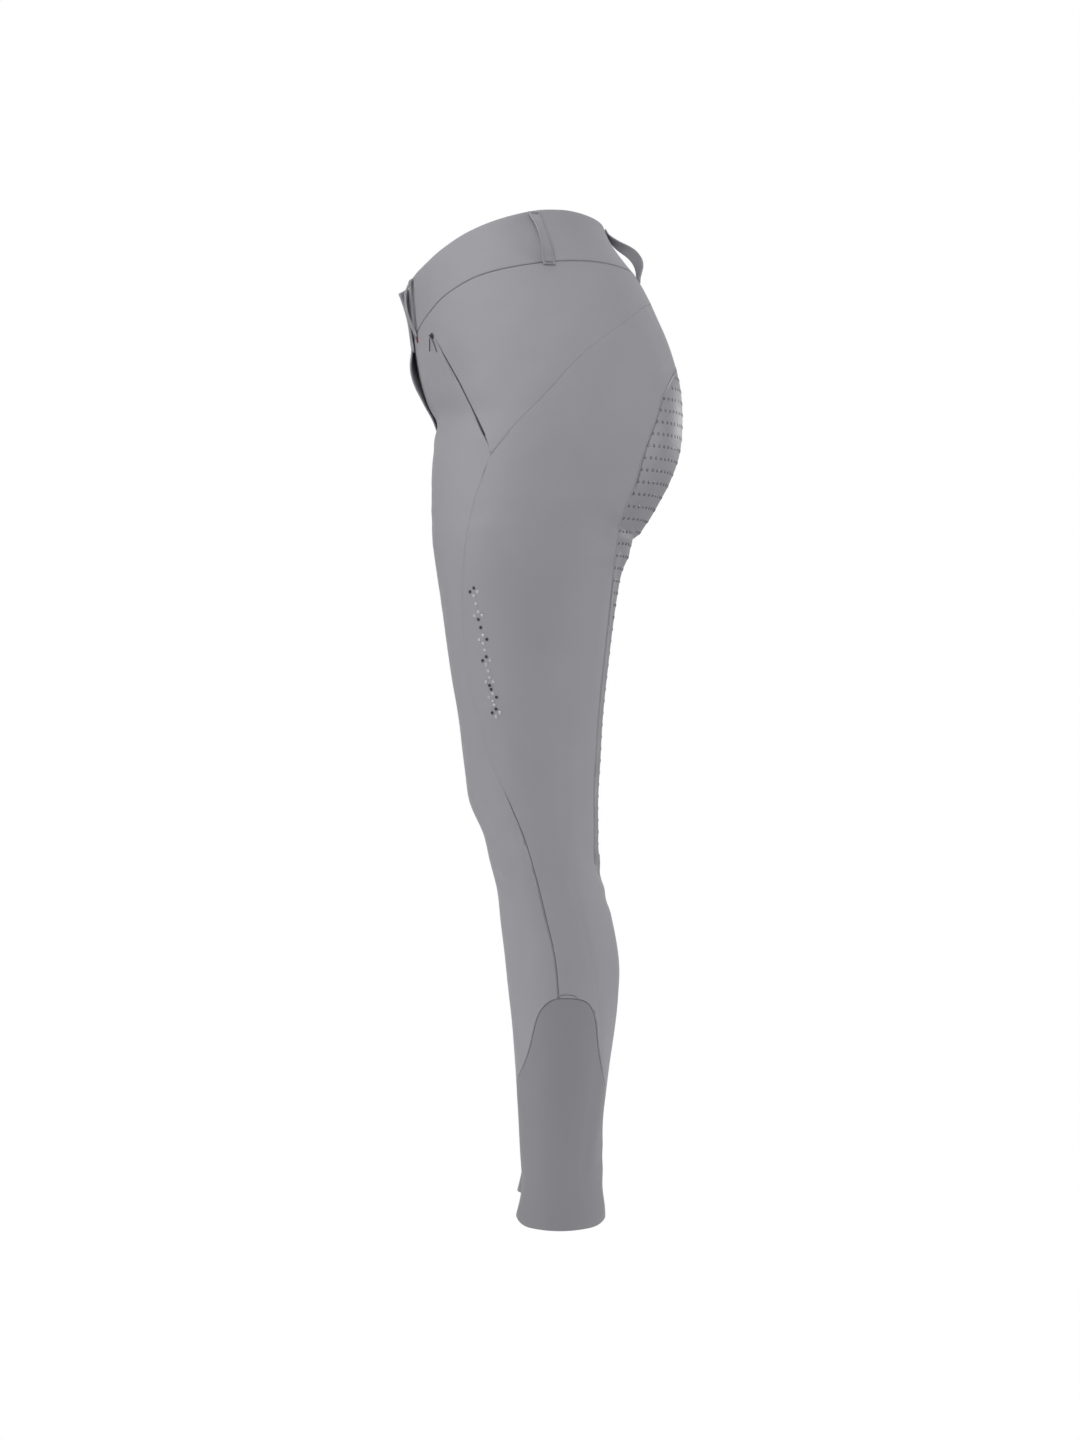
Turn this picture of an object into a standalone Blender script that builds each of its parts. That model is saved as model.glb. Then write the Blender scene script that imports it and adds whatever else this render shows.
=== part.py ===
"""Riding breeches in the hollow shape that they keep when they are worn.

Metres, +Z up. The front faces -Y and the wearer's left is +X. The origin is the middle of the
waist opening, half way up the waistband.

The cloth is one smooth surface for the wearer's left half, mirrored for the right. A point on it
has a height and a distance round, measured from the side of the body, forwards negative and
backwards positive. Every seam is a line on that surface, every panel is the net of points between
its seams, and every wall is such a net with a thickness.
"""
from collections import namedtuple
from functools import lru_cache
from math import cos, pi, sin, sqrt

import bpy
import numpy as np

# Cloth and gaps
PANEL_WALL = 0.0015
CUFF_WALL = 0.0012
BAND_WALL = 0.0024
FLAP_WALL = 0.0018
LOOP_WALL = 0.0016
GRIP_WALL = 0.0008
GAP = 0.0003
LAID_GAP = 0.0008
BEHIND_GAP = 0.0013
HALF_SEAM = GAP / 2

# Mesh of one half: columns and rows of each panel
FRONT_COLUMNS = 11
BACK_COLUMNS = 7
SEAT_COLUMNS = 9
PLAIN_EDGE = 0.09
SEAT_SHARES = tuple(np.linspace(0, 1 - PLAIN_EDGE, SEAT_COLUMNS)) + (1.0,)
CUFF_SHARES = (0.0, 0.22, 0.44, 0.62, 0.75, 0.87, 1.0)
POCKET_TOP_ROW = 1
POCKET_FOOT_ROW = 6
JUNCTION_ROW = 7
CROTCH_ROW = 19
LAST_ROW = 39
GRIP_FIRST_ROW = 9
GRIP_LAST_ROW = 33
ROW_GROWTH = 1.2
LOWER_SHARES = np.linspace(0, 1, LAST_ROW - CROTCH_ROW + 1) ** ROW_GROWTH
ROW_LEVELS = np.concatenate([np.arange(CROTCH_ROW),
                             CROTCH_ROW + (LAST_ROW - CROTCH_ROW) * LOWER_SHARES])

# Level sections of one half. front and back are the depths of the outline, side is the half width
# and side_y its depth, front_x and back_x are where the front and back lie furthest out, and
# inner is the half gap between the legs.
Section = namedtuple("Section", "height front back side side_y front_x back_x inner")
SECTIONS = (
    Section(0.045, -0.0945, 0.0900, 0.128, 0.000, 0.000, 0.000, 0.0000),
    Section(0.020, -0.0970, 0.1010, 0.134, 0.002, 0.000, 0.000, 0.0000),
    Section(-0.012, -0.0980, 0.1245, 0.145, 0.008, 0.000, 0.010, 0.0000),
    Section(-0.040, -0.0965, 0.1380, 0.154, 0.014, 0.000, 0.030, 0.0000),
    Section(-0.066, -0.0940, 0.1480, 0.161, 0.020, 0.000, 0.050, 0.0000),
    Section(-0.090, -0.0905, 0.1560, 0.167, 0.024, 0.000, 0.062, 0.0000),
    Section(-0.117, -0.0848, 0.1625, 0.172, 0.028, 0.000, 0.070, 0.0000),
    Section(-0.138, -0.0768, 0.1652, 0.175, 0.030, 0.012, 0.073, 0.0000),
    Section(-0.1585, -0.0680, 0.1654, 0.177, 0.031, 0.032, 0.075, 0.0000),
    Section(-0.172, -0.0703, 0.1648, 0.178, 0.031, 0.048, 0.076, 0.0000),
    Section(-0.202, -0.0728, 0.1580, 0.179, 0.030, 0.070, 0.079, 0.0000),
    Section(-0.236, -0.0727, 0.1413, 0.179, 0.027, 0.082, 0.084, 0.0000),
    Section(-0.255, -0.0722, 0.1270, 0.178, 0.025, 0.086, 0.087, 0.0000),
    Section(-0.259, -0.0721, 0.1237, 0.178, 0.024, 0.087, 0.088, 0.0035),
    Section(-0.268, -0.0717, 0.1184, 0.177, 0.023, 0.088, 0.089, 0.0064),
    Section(-0.283, -0.0700, 0.1143, 0.176, 0.021, 0.089, 0.090, 0.0081),
    Section(-0.301, -0.0674, 0.1071, 0.174, 0.020, 0.090, 0.090, 0.0096),
    Section(-0.336, -0.0623, 0.1010, 0.168, 0.019, 0.090, 0.089, 0.0130),
    Section(-0.393, -0.0545, 0.0940, 0.1575, 0.020, 0.087, 0.087, 0.0165),
    Section(-0.440, -0.0467, 0.0893, 0.1500, 0.021, 0.085, 0.085, 0.0185),
    Section(-0.482, -0.0418, 0.0870, 0.1450, 0.023, 0.083, 0.083, 0.0215),
    Section(-0.523, -0.0352, 0.0850, 0.1405, 0.026, 0.082, 0.082, 0.0235),
    Section(-0.545, -0.0245, 0.0853, 0.1380, 0.030, 0.082, 0.082, 0.0255),
    Section(-0.577, -0.0165, 0.0865, 0.1355, 0.035, 0.081, 0.081, 0.0275),
    Section(-0.592, -0.0118, 0.0890, 0.1340, 0.039, 0.080, 0.080, 0.0275),
    Section(-0.628, -0.0076, 0.0985, 0.1330, 0.045, 0.079, 0.078, 0.0240),
    Section(-0.661, -0.0036, 0.1052, 0.1325, 0.050, 0.078, 0.078, 0.0225),
    Section(-0.692, -0.0004, 0.1050, 0.1305, 0.052, 0.078, 0.078, 0.0245),
    Section(-0.729, 0.0037, 0.1014, 0.1265, 0.052, 0.078, 0.078, 0.0285),
    Section(-0.770, 0.0068, 0.0964, 0.1215, 0.052, 0.078, 0.078, 0.0335),
    Section(-0.800, 0.0087, 0.0938, 0.1175, 0.051, 0.077, 0.077, 0.0365),
    Section(-0.850, 0.0113, 0.0895, 0.1135, 0.050, 0.077, 0.077, 0.0400),
    Section(-0.880, 0.0130, 0.0897, 0.1125, 0.050, 0.077, 0.077, 0.0410),
    Section(-0.895, 0.0113, 0.0910, 0.1135, 0.050, 0.077, 0.077, 0.0400),
    Section(-0.905, 0.0082, 0.0924, 0.1145, 0.049, 0.077, 0.077, 0.0390),
    Section(-0.925, 0.0060, 0.0926, 0.1145, 0.049, 0.077, 0.077, 0.0390),
)
FULLNESS = 0.58
QUARTER_POINTS = 30
SHORT_DIAGONAL = 0.5

# The centre seam: the curve under the body that joins the centre front and the centre back
CROTCH_Z = -0.255
RISE_FRONT_Z = -0.1585
RISE_BACK_Z = -0.150
RISE_FRONT_REACH = (0.060, 0.055)
RISE_BACK_REACH = (0.065, 0.068)
SEAT_DIP = 0.0045
SEAT_DIP_FROM = -0.035
CALM_REACH = 0.075
CALM_PASSES = 40
CALM_DIRECTIONS = 4.0

# Waistband edges: share of the way round from centre front to centre back
Waist = namedtuple("Waist", "share seam rim")
WAIST = (
    Waist(0.00, -0.0760, -0.0185),
    Waist(0.10, -0.0705, -0.0158),
    Waist(0.20, -0.0575, -0.0088),
    Waist(0.30, -0.0400, 0.0045),
    Waist(0.40, -0.0256, 0.0192),
    Waist(0.50, -0.0172, 0.0310),
    Waist(0.60, -0.0114, 0.0388),
    Waist(0.70, -0.0088, 0.0412),
    Waist(0.85, -0.0092, 0.0402),
    Waist(1.00, -0.0120, 0.0400),
)
PANEL_TOP_SHARE = 0.20

# Seams that are read on the outer side: height and depth
Mark = namedtuple("Mark", "height depth")
POCKET_LINE = (Mark(-0.078, -0.0694), Mark(-0.096, -0.0610), Mark(-0.126, -0.0450),
               Mark(-0.152, -0.0327), Mark(-0.1750, -0.0219))
LEG_SEAM = (Mark(-0.1937, -0.0150), Mark(-0.212, -0.0215), Mark(-0.238, -0.0306),
            Mark(-0.273, -0.0381), Mark(-0.296, -0.0407), Mark(-0.329, -0.0417),
            Mark(-0.367, -0.0403), Mark(-0.396, -0.0367), Mark(-0.420, -0.0321),
            Mark(-0.443, -0.0247), Mark(-0.477, -0.0160), Mark(-0.500, -0.0055),
            Mark(-0.5225, 0.0042), Mark(-0.544, 0.0135), Mark(-0.5785, 0.0245),
            Mark(-0.627, 0.0366), Mark(-0.663, 0.0446), Mark(-0.6955, 0.0480))
LEG_SEAM_AT_CROTCH_ROW = -0.330
YOKE_SEAM = (Mark(-0.1937, -0.0150), Mark(-0.171, 0.0045), Mark(-0.1454, 0.0303),
             Mark(-0.1188, 0.0542), Mark(-0.0938, 0.0784), Mark(-0.0755, 0.1011),
             Mark(-0.0587, 0.1196), Mark(-0.0475, 0.1295))
YOKE_AT_CENTRE_BACK = -0.034
GRIP_EDGE = (Mark(-0.0500, 0.1270), Mark(-0.0750, 0.1430), Mark(-0.0950, 0.1520),
             Mark(-0.112, 0.1560), Mark(-0.134, 0.1450), Mark(-0.158, 0.1378),
             Mark(-0.181, 0.1290), Mark(-0.203, 0.1222), Mark(-0.225, 0.1165),
             Mark(-0.244, 0.1081), Mark(-0.265, 0.1030), Mark(-0.303, 0.0980),
             Mark(-0.344, 0.0940), Mark(-0.400, 0.0880), Mark(-0.450, 0.0835),
             Mark(-0.520, 0.0805), Mark(-0.575, 0.0815))
# Height of the edge of the grip at some rows of the seat panel, and where its line meets the cuff
GRIP_EDGE_ROWS = ((JUNCTION_ROW, -0.0500), (GRIP_FIRST_ROW, -0.1120), (CROTCH_ROW, -0.2850),
                  (GRIP_LAST_ROW, -0.5750))
GRIP_LINE_FOOT = (0.80, -0.8120)

# The arched upper seam of the cuff: share of the way round from inseam over the front
Arch = namedtuple("Arch", "share height")
ARCH = (Arch(0.00, -0.838), Arch(0.12, -0.826), Arch(0.25, -0.7890), Arch(0.3516, -0.7641),
        Arch(0.3865, -0.7461), Arch(0.4044, -0.7297), Arch(0.4236, -0.7156), Arch(0.4484, -0.7059),
        Arch(0.4801, -0.7005), Arch(0.5065, -0.7000), Arch(0.5351, -0.7006), Arch(0.5651, -0.7037),
        Arch(0.5893, -0.7123), Arch(0.6041, -0.7261), Arch(0.6267, -0.7512), Arch(0.6516, -0.7708),
        Arch(0.6814, -0.7850), Arch(0.75, -0.8005), Arch(0.86, -0.826), Arch(1.00, -0.838))
ARCH_TOP_SHARE = 0.4865
# Places of the columns along the arch, closer together round its top
ARCH_FRONT_SHARES = (0.0, 0.15, 0.29, 0.42, 0.53, 0.63, 0.72, 0.80, 0.87, 0.925, 0.965, 1.0)
ARCH_SIDE_SHARES = (0.0, 0.09, 0.17, 0.25, 0.36, 0.54, 0.76, 1.0)
HEM = ((0.00, -0.910), (0.25, -0.911), (0.37, -0.918), (0.50, -0.920), (0.63, -0.918),
       (0.75, -0.912), (1.00, -0.910))
INSEAM_FOOT = -0.838

# Waistband, fly and trim
BAND_ROWS = 3
BAND_COLUMNS = 22
LAP_LIFT = 0.0030
LAP_FROM = 0.09
LAP_FULL = 0.02
TAB_COLUMNS = 4
TAB_SHARE = 0.075
TAB_DROP = 0.0090
TAB_TOP_LIFT = 0.0118
TAB_FOOT_LIFT = 0.0036
TAB_FADE = 2.5
TAB_CURL = 1.5
FLAP_ROWS = 8
FLAP_COLUMNS = 4
FLAP_SEAM = 0.006
FLAP_WIDTH = 0.034
FLAP_FOOT_WIDTH = 0.003
FLAP_CURVE = 3.0
FLAP_FOOT = -0.1575
FLAP_GAP = 0.0012
FLAP_STAND = 0.0045
FLAP_STAND_HIGH = 0.6
FLY_TAPE = 0.022
FLY_ZIP_FOOT = -0.150
FLY_ZIP_ROWS = 5
TAPE_WALL = 0.0010
POCKET_SLIT = 0.0010
POCKET_TAPE = 0.009
SLIDER_AT = Mark(-0.0768, -0.0712)
SLIDER_SIZE = 0.0060
SLIDER_HEIGHT = 0.0020
SLIDER_ROUNDING = 0.18
SLIDER_TAPER = 0.12
CORD_RADIUS = 0.0006
PULL_ROUTE = (Mark(-0.0908, -0.0736), Mark(-0.0882, -0.0735), Mark(-0.0850, -0.0731),
              Mark(-0.0820, -0.0725), Mark(-0.0816, -0.0714), Mark(-0.0830, -0.0706),
              Mark(-0.0870, -0.0690), Mark(-0.0932, -0.0665))
LOOP_ROWS = 10
LOOP_WIDTH = 0.0115
LOOP_BELOW_RIM = 0.0015
LOOP_BELOW_SEAM = 0.0035
LOOP_SEWN = 0.07
LOOP_BOW = 0.8
# How far a strap stands off and turns, and sag, which is 1 for an even bow and more for a low one
Loop = namedtuple("Loop", "top_share foot_share stand turn sag")
LOOPS = (("front", Loop(0.120, 0.115, 0.0068, 0.10, 0.70)),
         ("side", Loop(0.571, 0.560, 0.0105, -0.20, 1.0)),
         ("back", Loop(1.0, 1.0, 0.0112, -0.80, 1.7)))
TAB_WIDTH = 0.0055
TAB_LENGTH = 0.0095

SIDES = (("L", 1), ("R", -1))


def interpolator(xs, ys):
    """A smooth curve through (xs, ys) that never overshoots, xs rising."""
    xs = np.array(xs, float)
    ys = np.array(ys, float)
    width = np.diff(xs)
    slope = np.diff(ys) / width
    tangent = np.zeros(len(xs))
    for i in range(1, len(xs) - 1):
        if slope[i - 1] * slope[i] > 0:
            before = 2 * width[i] + width[i - 1]
            after = width[i] + 2 * width[i - 1]
            tangent[i] = (before + after) / (before / slope[i - 1] + after / slope[i])
    tangent[0] = slope[0]
    tangent[-1] = slope[-1]

    def value(x):
        x = min(max(x, xs[0]), xs[-1])
        i = min(max(int(np.searchsorted(xs, x)) - 1, 0), len(width) - 1)
        t = (x - xs[i]) / width[i]
        return (ys[i] * (1 + 2 * t) * (1 - t) ** 2 + width[i] * tangent[i] * t * (1 - t) ** 2
                + ys[i + 1] * t * t * (3 - 2 * t) + width[i] * tangent[i + 1] * t * t * (t - 1))

    return value


def smoothstep(t):
    t = min(max(t, 0.0), 1.0)
    return t * t * (3 - 2 * t)


def bezier(a, b, c, d, count):
    """Points of a cubic curve from a to d, with handles at b and c."""
    t = np.linspace(0, 1, count)[:, None]
    a, b, c, d = (np.array(p, float) for p in (a, b, c, d))
    return a * (1 - t) ** 3 + 3 * b * t * (1 - t) ** 2 + 3 * c * t * t * (1 - t) + d * t ** 3


def lengths(points):
    """Distance along a line of points, from its start."""
    steps = np.sqrt((np.diff(points, axis=0) ** 2).sum(axis=1))
    return np.concatenate([[0.0], np.cumsum(steps)])


RISING = sorted(SECTIONS, key=lambda row: row.height)
LEVEL = {name: interpolator([row.height for row in RISING], [getattr(row, name) for row in RISING])
         for name in Section._fields[1:]}
CROTCH_Y = (LEVEL["front"](CROTCH_Z) + LEVEL["back"](CROTCH_Z)) / 2


def centre_back(z):
    dip = SEAT_DIP * smoothstep((SEAT_DIP_FROM - z) / (SEAT_DIP_FROM - RISE_BACK_Z))
    return LEVEL["back"](z) - dip


def rise_curve(start_y, start_z, side, reach):
    """Depth and height from the straight centre line to the crotch, side -1 front, +1 back."""
    down, level = reach
    start = (start_y, start_z)
    return bezier(start, (start_y, start_z - down), (CROTCH_Y + side * level, CROTCH_Z),
                  (CROTCH_Y, CROTCH_Z), 80)


FRONT_RISE = rise_curve(LEVEL["front"](RISE_FRONT_Z), RISE_FRONT_Z, -1, RISE_FRONT_REACH)
BACK_RISE = rise_curve(centre_back(RISE_BACK_Z), RISE_BACK_Z, 1, RISE_BACK_REACH)


def rise_depth(z, curve, straight, start_z):
    if z >= start_z:
        return straight(z)
    return float(np.interp(-z, -curve[:, 1], curve[:, 0]))


@lru_cache(maxsize=None)
def section(z):
    """Level cut of the left half: its points, its distances from the side, and the front's place."""
    front, back, side, side_y, front_x, back_x, inner = (
        LEVEL[name](z) for name in Section._fields[1:])
    if z > CROTCH_Z:
        start = (0.0, rise_depth(z, FRONT_RISE, LEVEL["front"], RISE_FRONT_Z))
        end = (0.0, rise_depth(z, BACK_RISE, centre_back, RISE_BACK_Z))
    else:
        start = end = (inner, (front + back) / 2)
    turn = pi / 2 * smoothstep((start[1] - front) / (CROTCH_Y - front)) ** 2
    turn_back = pi / 2 * smoothstep((back - end[1]) / (back - CROTCH_Y)) ** 2
    if z <= CROTCH_Z:
        turn = turn_back = pi / 2
    k = FULLNESS
    reach = k * (cos(turn) * (front_x - start[0]) + sin(turn) * (start[1] - front))
    reach_back = k * (cos(turn_back) * (back_x - end[0]) + sin(turn_back) * (back - end[1]))
    count = QUARTER_POINTS
    inside_front = bezier(start, (start[0] + reach * cos(turn), start[1] - reach * sin(turn)),
                          (front_x - k * (front_x - start[0]), front), (front_x, front), count)
    outside_front = bezier((front_x, front), (front_x + k * (side - front_x), front),
                           (side, side_y - k * (side_y - front)), (side, side_y), count)
    outside_back = bezier((side, side_y), (side, side_y + k * (back - side_y)),
                          (back_x + k * (side - back_x), back), (back_x, back), count)
    inside_back = bezier((back_x, back), (back_x - k * (back_x - end[0]), back),
                         (end[0] + reach_back * cos(turn_back), end[1] + reach_back * sin(turn_back)),
                         end, count)
    points = np.concatenate([inside_front, outside_front[1:], outside_back[1:], inside_back[1:]])
    run = lengths(points)
    run -= run[2 * count - 2]
    return points, run, (count - 1, 3 * count - 3)


def reach_round(z):
    """Distances round to the front edge and to the back edge."""
    run = section(z)[1]
    return run[0], run[-1]


def surface(around, z):
    """The outer face of the cloth. Past an edge it goes on over the other half, or round the leg."""
    points, run, _ = section(round(z, 7))
    first, last = run[0], run[-1]
    flip = 1
    if z > CROTCH_Z:
        if around < first:
            around, flip = 2 * first - around, -1
        elif around > last:
            around, flip = 2 * last - around, -1
    elif around < first:
        around += last - first
    elif around > last:
        around -= last - first
    x = np.interp(around, run, points[:, 0])
    y = np.interp(around, run, points[:, 1])
    return np.array([flip * x, y, z])


def normal(around, z, step=0.002):
    across = surface(around + step, z) - surface(around - step, z)
    upward = surface(around, z + step) - surface(around, z - step)
    out = np.cross(across, upward)
    return out / sqrt(out @ out)


def at_depth(z, depth):
    """Distance round of the point of the outer side at a height and a depth."""
    points, run, (front, back) = section(z)
    return float(np.interp(depth, points[front:back + 1, 1], run[front:back + 1]))


def at_share(z, share):
    first, last = reach_round(z)
    return first + share * (last - first)


def marked_line(marks, count=120):
    """A seam through marks, as distances round and heights, closely spaced."""
    heights = [m.height for m in marks]
    rising = heights[-1] > heights[0]
    order = marks if rising else marks[::-1]
    depth = interpolator([m.height for m in order], [m.depth for m in order])
    zs = np.linspace(heights[0], heights[-1], count)
    return np.array([(at_depth(z, depth(z)), z) for z in zs])


def by_height(line, heights):
    """Points of a line at the given heights."""
    order = np.argsort(line[:, 1])
    return np.array([(np.interp(z, line[order, 1], line[order, 0]), z) for z in heights])


def true_length(line):
    """Distances along a line that is given as distances round and heights."""
    return lengths(np.array([surface(*p) for p in line]))


def spaced(line, shares):
    """Points at the given shares of the length of a line on the surface."""
    run = true_length(line)
    return np.array([[np.interp(s * run[-1], run, column) for column in line.T] for s in shares])


def evenly(line, count):
    """count + 1 points at equal distances along a line on the surface."""
    return spaced(line, np.linspace(0, 1, count + 1))


def share_line(table, start, end, count=160):
    """A line from a table of shares and heights, between two shares."""
    height = interpolator([row[0] for row in table], [row[1] for row in table])
    shares = np.linspace(start, end, count)
    return np.array([(at_share(height(s), s), height(s)) for s in shares])


def as_shares(line):
    """A line with its distances round turned into shares of the way round at each height."""
    ends = [reach_round(z) for _, z in line]
    return np.array([((around - first) / (last - first), z)
                     for (around, z), (first, last) in zip(line, ends)])


def net(left, right, top, bottom, shares=None, local=3):
    """A net between four lines. With a high local, top and bottom shape only the rows near them."""
    left, right, top, bottom = (as_shares(line) for line in (left, right, top, bottom))
    rows, columns = len(left), len(top)
    if shares is None:
        shares = np.linspace(0, 1, columns)
    points = np.zeros((rows, columns, 2))
    for i in range(rows):
        v = i / (rows - 1)
        for j, u in enumerate(shares):
            share, z = (left[i] * (1 - u) + right[i] * u
                        + (1 - v) ** local * (top[j] - top[0] * (1 - u) - top[-1] * u)
                        + v ** local * (bottom[j] - bottom[0] * (1 - u) - bottom[-1] * u))
            points[i, j] = at_share(z, share), z
    return points


class Layout:
    """The nets of one half, as distances round and heights."""

    def __init__(self):
        waist = [(row.share, row.seam) for row in WAIST]
        waist_front = evenly(share_line(waist, 0.0, PANEL_TOP_SHARE), FRONT_COLUMNS)
        waist_back = evenly(share_line(waist, PANEL_TOP_SHARE, 1.0), BACK_COLUMNS + SEAT_COLUMNS)
        pocket = by_height(marked_line(POCKET_LINE), np.linspace(
            POCKET_LINE[0].height, POCKET_LINE[-1].height, POCKET_FOOT_ROW - POCKET_TOP_ROW + 1))
        leg = marked_line(LEG_SEAM)
        upper_leg = np.linspace(LEG_SEAM[0].height, LEG_SEAM_AT_CROTCH_ROW,
                                CROTCH_ROW - JUNCTION_ROW + 1)
        lower_leg = LEG_SEAM_AT_CROTCH_ROW + LOWER_SHARES * (LEG_SEAM[-1].height
                                                             - LEG_SEAM_AT_CROTCH_ROW)
        leg_seam = by_height(leg, np.concatenate([upper_leg, lower_leg[1:]]))
        front_seam = np.concatenate([waist_front[-1:], pocket, leg_seam])
        inseam = CROTCH_Z + LOWER_SHARES * (INSEAM_FOOT - CROTCH_Z)
        front_inseam = np.array([(reach_round(z)[0], z) for z in inseam])
        back_inseam = np.array([(reach_round(z)[1], z) for z in inseam])
        front_centre = self.centre_line(waist_front[0, 1], FRONT_RISE, RISE_FRONT_Z, 0)
        back_centre = self.centre_line(YOKE_AT_CENTRE_BACK, BACK_RISE, RISE_BACK_Z, 1)
        front_edge = np.concatenate([evenly(front_centre, CROTCH_ROW), front_inseam[1:]])
        back_edge = np.concatenate([evenly(back_centre, CROTCH_ROW - JUNCTION_ROW),
                                    back_inseam[1:]])
        arch = [(row.share, row.height) for row in ARCH]
        arch_front = spaced(share_line(arch, 0.0, ARCH_TOP_SHARE), ARCH_FRONT_SHARES)
        grip_levels = [ROW_LEVELS[row] for row, _ in GRIP_EDGE_ROWS]
        grip_heights = [height for _, height in GRIP_EDGE_ROWS]
        grip_edge = by_height(marked_line(GRIP_EDGE), np.interp(
            ROW_LEVELS[JUNCTION_ROW:GRIP_LAST_ROW + 1], grip_levels, grip_heights))
        foot_share, foot_z = GRIP_LINE_FOOT
        foot = np.array((at_share(foot_z, foot_share), foot_z))
        below = np.linspace(grip_edge[-1], foot, LAST_ROW - GRIP_LAST_ROW + 1)
        grip_edge = np.concatenate([grip_edge, below[1:]])
        yoke = np.concatenate([marked_line(YOKE_SEAM),
                               [(reach_round(YOKE_AT_CENTRE_BACK)[1], YOKE_AT_CENTRE_BACK)]])
        yoke_side, yoke_seat = self.split(yoke, grip_edge[0])
        yoke_side = evenly(yoke_side, BACK_COLUMNS)
        yoke_seat = spaced(yoke_seat, SEAT_SHARES)
        grip_edge[0] = yoke_seat[0]
        arch_back = share_line(arch, ARCH_TOP_SHARE, 1.0)
        arch_side, arch_seat = self.split(arch_back, grip_edge[-1])
        arch_side = spaced(arch_side, ARCH_SIDE_SHARES)
        arch_seat = spaced(arch_seat, SEAT_SHARES)
        grip_edge[-1] = arch_seat[0]
        hip_edge = np.array([(reach_round(z)[1], z) for z in np.linspace(
            waist_back[-1, 1], YOKE_AT_CENTRE_BACK, JUNCTION_ROW + 1)])
        front_seam[-1] = arch_front[-1]
        leg_seam = front_seam[JUNCTION_ROW:]
        yoke_side[0] = leg_seam[0]
        yoke_line = np.concatenate([yoke_side, yoke_seat[1:]])
        self.front = net(front_edge, front_seam, waist_front, arch_front)
        self.hip = net(front_seam[:JUNCTION_ROW + 1], hip_edge, waist_back, yoke_line, local=1)
        side = net(leg_seam, grip_edge, yoke_side, arch_side)
        seat = net(grip_edge, back_edge, yoke_seat, arch_seat, SEAT_SHARES)
        self.back = np.concatenate([side, seat[:, 1:]], axis=1)
        self.arch = np.concatenate([arch_front, arch_side[1:], arch_seat[1:-1]])

    @staticmethod
    def centre_line(top, curve, curve_z, end):
        """The centre seam from a height down to the crotch."""
        straight = np.linspace(top, curve_z, 40)
        heights = np.concatenate([straight, curve[1:-1, 1], [CROTCH_Z]])
        return np.array([(reach_round(z)[end], z) for z in heights])

    @staticmethod
    def split(line, place):
        """A line cut in two at its point nearest to a place."""
        i = int(np.argmin(((line - place) ** 2).sum(axis=1)))
        i = min(max(i, 1), len(line) - 2)
        return line[:i + 1], line[i:]


def on_surface(points, lift=0.0):
    """Points and outward directions of a net."""
    flat = points.reshape(-1, 2)
    outward = np.array([normal(*p) for p in flat])
    place = np.array([surface(*p) for p in flat]) + lift * outward
    return place.reshape(points.shape[:-1] + (3,)), outward.reshape(points.shape[:-1] + (3,))


def calmed(place, outward):
    """Even out a net under the body, where the four panels meet. Its edges stay where they are."""
    place = place.copy()
    outward = outward.copy()
    away = place[1:-1, 1:-1] - (0.0, CROTCH_Y, CROTCH_Z)
    share = np.clip(1 - np.sqrt((away ** 2).sum(axis=-1)) / CALM_REACH, 0, 1)[..., None]
    for _ in range(CALM_PASSES):
        mean = (place[:-2, 1:-1] + place[2:, 1:-1] + place[1:-1, :-2] + place[1:-1, 2:]) / 4
        place[1:-1, 1:-1] += share * (mean - place[1:-1, 1:-1])
    across = place[1:-1, 2:] - place[1:-1, :-2]
    upward = place[:-2, 1:-1] - place[2:, 1:-1]
    square = np.cross(across, upward)
    square /= np.sqrt((square ** 2).sum(axis=-1))[..., None]
    blend = outward[1:-1, 1:-1] + (square - outward[1:-1, 1:-1]) * np.minimum(1, CALM_DIRECTIONS * share)
    outward[1:-1, 1:-1] = blend / np.sqrt((blend ** 2).sum(axis=-1))[..., None]
    return place, outward


def inset(place, edge, amounts):
    """Move one edge of a net inwards, square to the edge."""
    moved = place.copy()
    line, inner = {"left": (place[:, 0], place[:, 1]), "right": (place[:, -1], place[:, -2]),
                   "top": (place[0], place[1]), "bottom": (place[-1], place[-2])}[edge]
    tangent = np.gradient(line, axis=0)
    tangent /= np.sqrt((tangent ** 2).sum(axis=1))[:, None]
    inward = inner - line
    inward -= (inward * tangent).sum(axis=1)[:, None] * tangent
    inward /= np.sqrt((inward ** 2).sum(axis=1))[:, None]
    shifted = line + inward * np.broadcast_to(amounts, len(line))[:, None]
    if edge == "left":
        moved[:, 0] = shifted
    elif edge == "right":
        moved[:, -1] = shifted
    elif edge == "top":
        moved[0] = shifted
    else:
        moved[-1] = shifted
    return moved


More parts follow.
